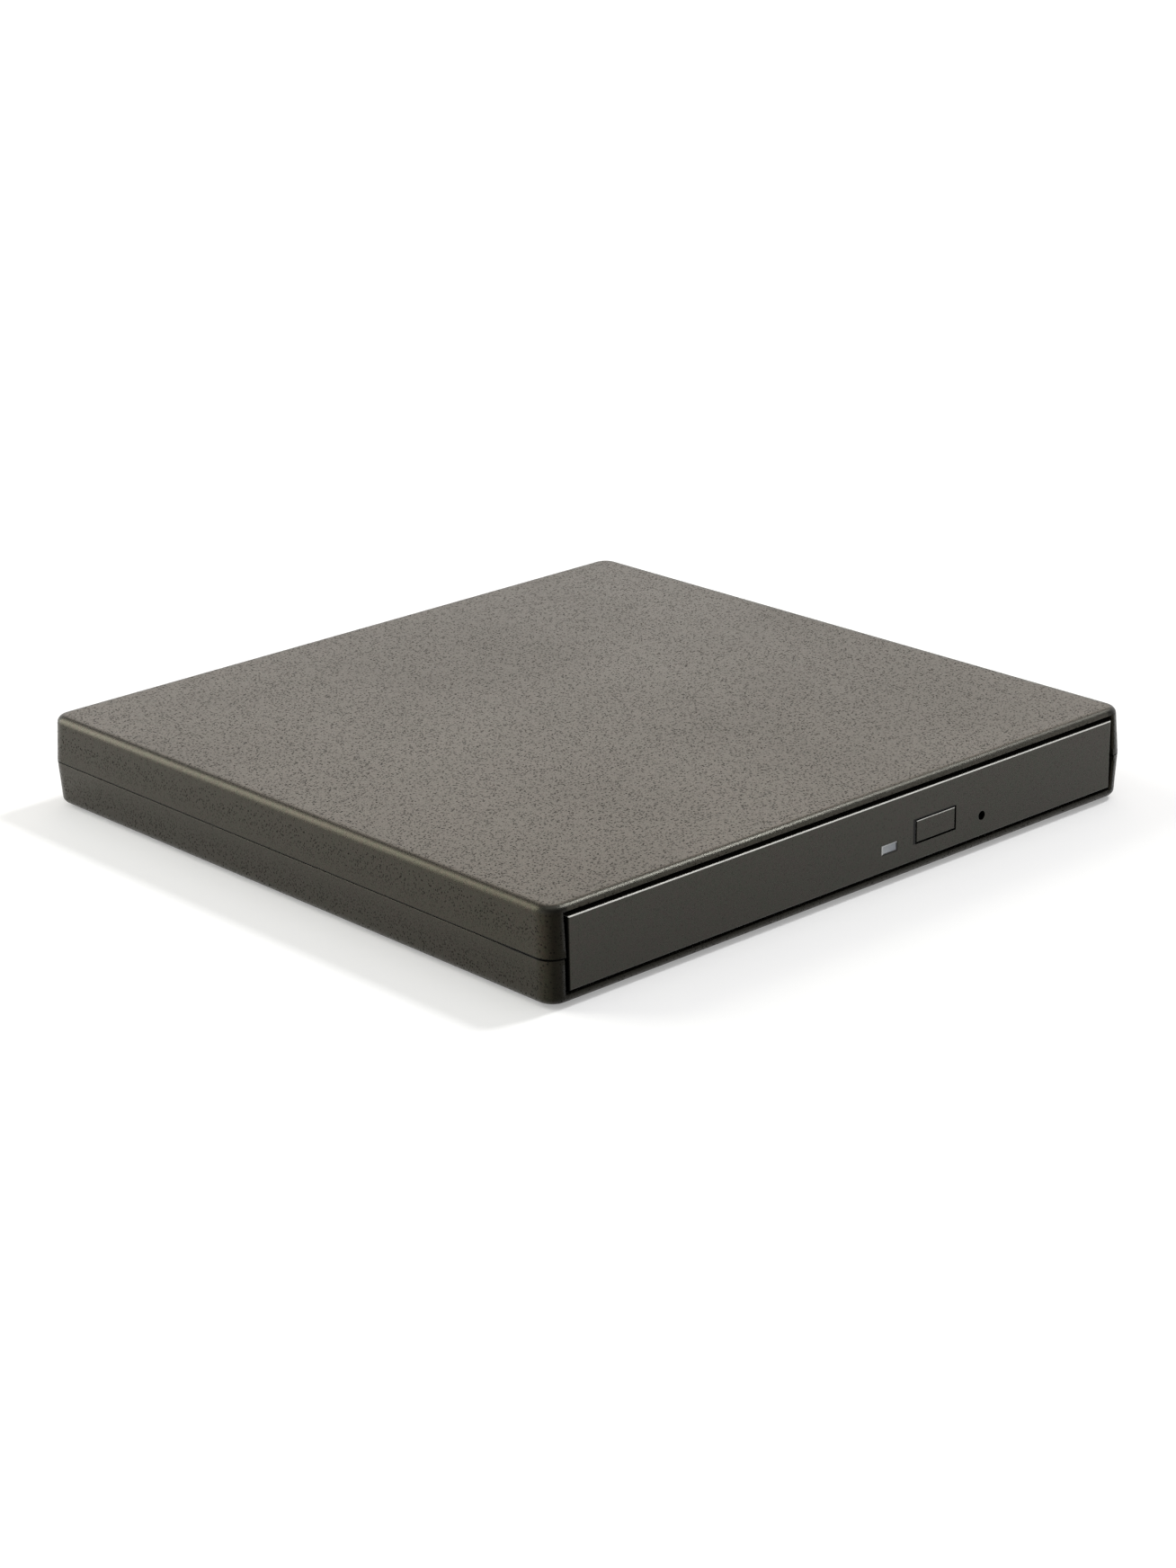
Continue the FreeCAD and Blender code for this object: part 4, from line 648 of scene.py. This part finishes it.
# Pieces in the tray: what the traverse's window shows below the sled, the cover's screws and the hub's cap

TRAVERSE_TURN = math.radians(225.0)
COVER_TOP = box_of("traverse_cover")[1][2]
HUB_TOP = box_of("chuck_hub")[1][2]
# Points closer than this many metres are one
SAME_POINT = 1e-7


def on_traverse(u, v, z):
    """A place from the traverse's own axes, u and v about the spindle in millimetres, in the frame."""
    c, s = math.cos(TRAVERSE_TURN), math.sin(TRAVERSE_TURN)
    return Vector((AXLE[0] + (u * c - v * s) * MM, AXLE[1] + (u * s + v * c) * MM, z * MM))


def add_piece(name, shape, body, slot, finish=None):
    """Makes a piece of a bmesh and lets it ride on a body."""
    mesh = bpy.data.meshes.new(name)
    bmesh.ops.recalc_face_normals(shape, faces=shape.faces[:])
    shape.to_mesh(mesh)
    shape.free()
    piece = bpy.data.objects.new(name, mesh)
    bpy.context.scene.collection.objects.link(piece)
    mesh.materials.append(finish or FINISHES[slot])
    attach(piece, body)
    return piece


def ring_of(shape, places):
    """A closed loop of vertices and edges through the places."""
    verts = [shape.verts.new(place) for place in places]
    edges = [shape.edges.new((verts[k - 1], verts[k])) for k in range(len(verts))]
    return verts, edges


def stadium(u0, u1, v, radius, z, sides=12):
    """Places round a slot with half-round ends, each of that many sides."""
    places = []
    for u, start in ((u1, -90.0), (u0, 90.0)):
        for k in range(sides + 1):
            a = math.radians(start + 180.0 * k / sides)
            places.append(on_traverse(u + radius * math.cos(a), v + radius * math.sin(a), z))
    return places


# The underplate, in millimetres: its underside's height, its thickness and its outline, u and v
UNDER_Z = 4.30
UNDER_THICKNESS = 0.3
UNDER_TOP = UNDER_Z + UNDER_THICKNESS
UNDER_OUTLINE = (
    (-15.5, -13), (-10, -19.5), (51.5, -19.5), (65, -14),
    (65, 14), (61.5, 20.5), (-8.5, 20.5), (-15.5, 13),
)
# The hole's radius, and the sides of each half of it
BEARING_HOLE = 4.0
BEARING_HOLE_SIDES = 24
# Pressed beads in the plate: from u, to u, v, half width and height
BEADS = ((19.0, 59.0, 4.3, 1.1, 0.45), (19.0, 59.0, -12.5, 1.4, 0.45), (8.0, 59.0, 12.5, 1.4, 0.45))
# A bead's slope: how far in from its foot, and at what share of its height
BEAD_SLOPE = ((0.08, 0.1), (0.3, 0.8), (0.45, 1.0))


def make_underplate():
    """A thin steel plate below the frame, with a hole for the motor's bearing and pressed beads."""
    shape = bmesh.new()
    edges = ring_of(shape, [on_traverse(u, v, UNDER_TOP) for u, v in UNDER_OUTLINE])[1]
    edges += ring_of(shape, stadium(0.0, 0.0, 0.0, BEARING_HOLE, UNDER_TOP, BEARING_HOLE_SIDES))[1]
    for u0, u1, v, half, height in BEADS:
        foot, foot_edges = ring_of(shape, stadium(u0, u1, v, half, UNDER_TOP))
        edges += foot_edges
        slope = [foot]
        for inset, rise in BEAD_SLOPE:
            places = stadium(u0, u1, v, half - inset, UNDER_TOP + rise * height)
            slope.append([shape.verts.new(place) for place in places])
        for lower, upper in zip(slope, slope[1:]):
            for k in range(len(lower)):
                shape.faces.new((lower[k - 1], lower[k], upper[k], upper[k - 1]))
        shape.faces.new(slope[-1])
    bmesh.ops.triangle_fill(shape, edges=edges, use_beauty=True, normal=(0.0, 0.0, 1.0))
    bmesh.ops.remove_doubles(shape, verts=shape.verts[:], dist=SAME_POINT)
    piece = add_piece("traverse_underplate", shape, "tray", "frame_steel")
    wall = piece.modifiers.new("wall", "SOLIDIFY")
    wall.thickness = UNDER_THICKNESS * MM
    wall.offset = -1.0


# The sled's cable, in millimetres: from u, to u, its middle's v, its half width and its lanes' pitch
CABLE_FROM = 9.0
CABLE_TO = 64.0
CABLE_V = -2.3
CABLE_HALF = 2.9
CABLE_PITCH = 0.5
CABLE_THICKNESS = 0.08
CABLE_STEPS = 60
# The cable lies this far above the plate, and rises from it in two low waves
CABLE_GAP = 0.03
WAVE_FROM = 18.0
WAVE_LENGTH = 42.0
WAVE_HEIGHT = 0.22


def make_sled_cable():
    """The sled's flat cable, lying along the underplate in two low waves."""
    shape = bmesh.new()
    rows = []
    for k in range(CABLE_STEPS + 1):
        u = CABLE_FROM + (CABLE_TO - CABLE_FROM) * k / CABLE_STEPS
        share = min(max((u - WAVE_FROM) / WAVE_LENGTH, 0.0), 1.0)
        z = UNDER_TOP + CABLE_GAP + WAVE_HEIGHT * math.sin(2.0 * math.pi * share) ** 2
        places = [on_traverse(u, CABLE_V + side * CABLE_HALF, z) for side in (-1.0, 0.0, 1.0)]
        rows.append([shape.verts.new(place) for place in places])
    for a, b in zip(rows, rows[1:]):
        for k in range(2):
            shape.faces.new((a[k], a[k + 1], b[k + 1], b[k]))
    lanes = flat_cable("sled_cable_film", CABLE_FILM, CABLE_COPPER, CABLE_PITCH, turn=-45.0)
    piece = add_piece("sled_cable", shape, "tray", "cable_film", lanes)
    film = piece.modifiers.new("film", "SOLIDIFY")
    film.thickness = CABLE_THICKNESS * MM
    film.offset = 1.0


def lathed(profile, sides):
    """A solid of revolution about Z through the origin, from its radii and heights in millimetres."""
    shape = bmesh.new()
    verts = [shape.verts.new((r * MM, 0.0, z * MM)) for r, z in profile]
    edges = [shape.edges.new(pair) for pair in zip(verts, verts[1:])]
    bmesh.ops.spin(shape, geom=verts + edges, cent=(0, 0, 0), axis=(0, 0, 1), angle=2 * math.pi, steps=sides)
    bmesh.ops.remove_doubles(shape, verts=shape.verts[:], dist=SAME_POINT)
    return shape


def moved(shape, place):
    """The shape, moved from the origin to the place."""
    bmesh.ops.translate(shape, verts=shape.verts[:], vec=place)
    return shape


# The screws' places, u and v, and their heads' outline, radius and height
SCREW_PLACES = ((-13.5, -13.5), (-13.5, 14.0), (47.5, -15.5), (53.5, 15.2))
SCREW_HEAD = ((0, 0), (1.6, 0), (1.68, 0.05), (1.68, 0.16), (1.55, 0.3), (1.25, 0.4), (0.8, 0.45), (0, 0.46))
SCREW_SIDES = 40
# How far the first screw is turned, and how much more each next one is, in degrees
SCREW_TURN = 25.0
SCREW_TURN_STEP = 37.0
# The wedges that cut the cross: half length, half width and height at their foot and at their top
CROSS_FOOT = (0.35, 0.14, 0.12)
CROSS_TOP = (0.95, 0.22, 0.7)
CORNERS = ((-1, -1), (1, -1), (1, 1), (-1, 1))


def cross_cutter(turn):
    """Two crossed wedges that cut the recess of a cross-head screw."""
    shape = bmesh.new()
    for quarter in (0.0, 90.0):
        angle = math.radians(turn + quarter)
        along = Vector((math.cos(angle), math.sin(angle), 0.0))
        across = Vector((-math.sin(angle), math.cos(angle), 0.0))
        rings = []
        for length, width, height in (CROSS_FOOT, CROSS_TOP):
            lift = Vector((0.0, 0.0, height))
            places = [along * x * length + across * y * width + lift for x, y in CORNERS]
            rings.append([shape.verts.new(place * MM) for place in places])
        bottom, top = rings
        shape.faces.new(bottom[::-1])
        shape.faces.new(top)
        for k in range(len(CORNERS)):
            shape.faces.new((bottom[k - 1], bottom[k], top[k], top[k - 1]))
    return shape


def make_cover_screws():
    """The screws of the traverse's cover, each with its own turn of the cross."""
    for k, (u, v) in enumerate(SCREW_PLACES):
        place = on_traverse(u, v, COVER_TOP)
        head = moved(lathed(SCREW_HEAD, SCREW_SIDES), place)
        screw = add_piece(f"cover_screw_{k + 1}", head, "tray", "screw_steel")
        cutter_mesh = bpy.data.meshes.new("cross_cutter")
        shape = moved(cross_cutter(SCREW_TURN + SCREW_TURN_STEP * k), place)
        shape.to_mesh(cutter_mesh)
        shape.free()
        cutter = bpy.data.objects.new("cross_cutter", cutter_mesh)
        bpy.context.scene.collection.objects.link(cutter)
        recess = screw.modifiers.new("recess", "BOOLEAN")
        recess.operation = "DIFFERENCE"
        recess.solver = "EXACT"
        recess.use_self = True
        recess.object = cutter
        apply_modifiers(screw)
        bpy.data.objects.remove(cutter)


def apply_modifiers(piece):
    """Turns what the modifiers show into the piece's own mesh."""
    bpy.context.view_layer.update()
    depsgraph = bpy.context.evaluated_depsgraph_get()
    mesh = bpy.data.meshes.new_from_object(piece.evaluated_get(depsgraph))
    piece.modifiers.clear()
    piece.data = mesh


# The cap's outline, radius and height
HUB_CAP = (
    (0, 0), (3.2, 0), (3.3, 0.04), (3.25, 0.12), (3.1, 0.15),
    (2.5, 0.15), (2.35, 0.08), (1.2, 0.08), (1.05, 0.13), (0, 0.15),
)
HUB_CAP_SIDES = 56


def make_hub_cap():
    """The small pressed cap on the end of the spindle."""
    place = Vector((AXLE[0], AXLE[1], HUB_TOP * MM))
    add_piece("hub_cap", moved(lathed(HUB_CAP, HUB_CAP_SIDES), place), "spindle", "rotor_steel")


# Stage, lamps and camera

def seen_share(tree):
    """1 for the rays of the camera, of mirrors and of glass, and 0 for the light on other surfaces."""
    path = tree.nodes.new("ShaderNodeLightPath")
    seen = path.outputs["Is Camera Ray"]
    for name in ("Is Glossy Ray", "Is Transmission Ray"):
        either = tree.nodes.new("ShaderNodeMath")
        either.operation = "MAXIMUM"
        tree.links.new(seen, either.inputs[0])
        tree.links.new(path.outputs[name], either.inputs[1])
        seen = either.outputs[0]
    return seen


def stage_material(name, colour, near, far):
    """A surface of that colour, which the camera, mirrors and glass see brighter, towards white.

    near and far: a distance from the object in metres, and how much more is seen there. The lamps stand
    close to the object, so more is added where their light falls off.
    """
    material = bpy.data.materials.new(name)
    material.use_nodes = True
    tree = material.node_tree
    tree.nodes.clear()
    output = tree.nodes.new("ShaderNodeOutputMaterial")
    diffuse = tree.nodes.new("ShaderNodeBsdfDiffuse")
    diffuse.inputs["Color"].default_value = (*colour, 1.0)
    glow = tree.nodes.new("ShaderNodeEmission")
    place = tree.nodes.new("ShaderNodeTexCoord").outputs["Object"]
    away = tree.nodes.new("ShaderNodeVectorMath")
    away.operation = "LENGTH"
    tree.links.new(place, away.inputs[0])
    rise = tree.nodes.new("ShaderNodeMapRange")
    set_range(rise, (near[0], far[0]), (near[1], far[1]))
    tree.links.new(away.outputs["Value"], rise.inputs["Value"])
    tree.links.new(rise.outputs["Result"], glow.inputs["Strength"])
    seen = tree.nodes.new("ShaderNodeMixShader")
    dark = tree.nodes.new("ShaderNodeEmission")
    dark.inputs["Strength"].default_value = 0.0
    total = tree.nodes.new("ShaderNodeAddShader")
    tree.links.new(seen_share(tree), seen.inputs["Fac"])
    tree.links.new(dark.outputs[0], seen.inputs[1])
    tree.links.new(glow.outputs[0], seen.inputs[2])
    tree.links.new(diffuse.outputs[0], total.inputs[0])
    tree.links.new(seen.outputs[0], total.inputs[1])
    tree.links.new(total.outputs[0], output.inputs["Surface"])
    return material


FLOOR_HALF = 6.0
# A distance from the object in metres, and the floor's glow there
GLOW_NEAR = (0.45, 0.3)
GLOW_FAR = (2.0, 0.8)


def make_floor():
    """A plain pale floor."""
    mesh = bpy.data.meshes.new("floor")
    mesh.from_pydata([(x * FLOOR_HALF, y * FLOOR_HALF, 0) for x, y in CORNERS], [], [(0, 1, 2, 3)])
    floor = bpy.data.objects.new("floor", mesh)
    bpy.context.scene.collection.objects.link(floor)
    mesh.materials.append(stage_material("floor_paint", FLOOR_PAINT, GLOW_NEAR, GLOW_FAR))


WORLD_LIGHT = 0.4
WORLD_SHOWN = 1.0
# The studio is white round the horizon and greyer overhead: the sines of the heights where it fades,
# and what is left of the white overhead
FADE_FROM = 0.42
FADE_TO = 0.58
OVERHEAD = 0.2


def make_world():
    """Even light from all round, and the paler studio that the camera and mirrors see."""
    world = bpy.data.worlds.new("studio")
    bpy.context.scene.world = world
    world.use_nodes = True
    tree = world.node_tree
    tree.nodes.clear()
    output = tree.nodes.new("ShaderNodeOutputWorld")
    lit = tree.nodes.new("ShaderNodeBackground")
    lit.inputs["Color"].default_value = (*WHITE, 1.0)
    lit.inputs["Strength"].default_value = WORLD_LIGHT
    direction = tree.nodes.new("ShaderNodeTexCoord").outputs["Generated"]
    height = tree.nodes.new("ShaderNodeSeparateXYZ")
    tree.links.new(direction, height.inputs[0])
    fade = tree.nodes.new("ShaderNodeMapRange")
    fade.interpolation_type = "SMOOTHSTEP"
    set_range(fade, (FADE_FROM, FADE_TO), (1.0, OVERHEAD))
    tree.links.new(height.outputs["Z"], fade.inputs["Value"])
    shown = tree.nodes.new("ShaderNodeBackground")
    tree.links.new(fade.outputs["Result"], shown.inputs["Color"])
    shown.inputs["Strength"].default_value = WORLD_SHOWN
    mix = tree.nodes.new("ShaderNodeMixShader")
    tree.links.new(seen_share(tree), mix.inputs["Fac"])
    tree.links.new(lit.outputs[0], mix.inputs[1])
    tree.links.new(shown.outputs[0], mix.inputs[2])
    tree.links.new(mix.outputs[0], output.inputs["Surface"])


def make_lamp(name, place, size, power, colour):
    """A soft lamp that faces the object."""
    lamp = bpy.data.lights.new(name, "AREA")
    lamp.color = colour
    lamp.shape = "RECTANGLE"
    lamp.size, lamp.size_y = size
    lamp.energy = power
    holder = bpy.data.objects.new(name, lamp)
    bpy.context.scene.collection.objects.link(holder)
    holder.location = place
    holder.rotation_euler = (-Vector(place)).to_track_quat("-Z", "Y").to_euler()


# Name, place and size in metres, power in watts and colour
LAMPS = (
    ("lamp_over", (0.1, -0.1, 1.5), (1.0, 1.0), 3.0, WHITE),
    ("lamp_back", (1.164, 1.124, 0.90), (1.4, 0.75), 3.75, (1.0, 0.85, 0.71)),
    ("lamp_left", (-0.67, 1.156, 0.68), (0.8, 1.15), 14.0, (1.0, 1.0, 0.92)),
    ("lamp_right", (1.06, -0.2, 1.45), (0.22, 0.22), 14.0, WHITE),
)

# The camera was solved from the straight edges of the case in the picture: millimetres, degrees and pixels
CAMERA_PLACE = (-397.668, -444.601, 219.334)
CAMERA_AZIMUTH = -40.481
CAMERA_ELEVATION = 24.179
CAMERA_ROLL = -1.861
PICTURE_WIDTH = 1308
PICTURE_HEIGHT = 1744
FOCAL_PIXELS = 3934.76
AXIS_X = 571.845
AXIS_Y = 1166.602
SENSOR = 36.0
NEAREST_SEEN = 0.01


def make_camera():
    """The camera at the photograph's angle, with its framing."""
    data = bpy.data.cameras.new("camera")
    data.sensor_width = SENSOR
    data.lens = FOCAL_PIXELS * SENSOR / PICTURE_HEIGHT
    data.shift_x = (PICTURE_WIDTH / 2 - AXIS_X) / PICTURE_HEIGHT
    data.shift_y = (AXIS_Y - PICTURE_HEIGHT / 2) / PICTURE_HEIGHT
    data.clip_start = NEAREST_SEEN
    camera = bpy.data.objects.new("camera", data)
    bpy.context.scene.collection.objects.link(camera)
    around, above, roll = (math.radians(v) for v in (CAMERA_AZIMUTH, CAMERA_ELEVATION, CAMERA_ROLL))
    level = Vector((math.sin(around), -math.cos(around), 0.0)) * math.cos(above)
    back = level + Vector((0.0, 0.0, math.sin(above)))
    right = Vector((math.cos(around), math.sin(around), 0.0))
    up = back.cross(right)
    across = right * math.cos(roll) + up * math.sin(roll)
    upward = up * math.cos(roll) - right * math.sin(roll)
    turn = Matrix((across, upward, back)).transposed().to_4x4()
    camera.matrix_world = Matrix.Translation(Vector(CAMERA_PLACE) * MM) @ turn
    bpy.context.scene.camera = camera


dress_nodes()
make_underplate()
make_sled_cable()
make_cover_screws()
make_hub_cap()
make_floor()
make_world()
for lamp_values in LAMPS:
    make_lamp(*lamp_values)
make_camera()
bpy.context.scene.view_settings.view_transform = "Standard"
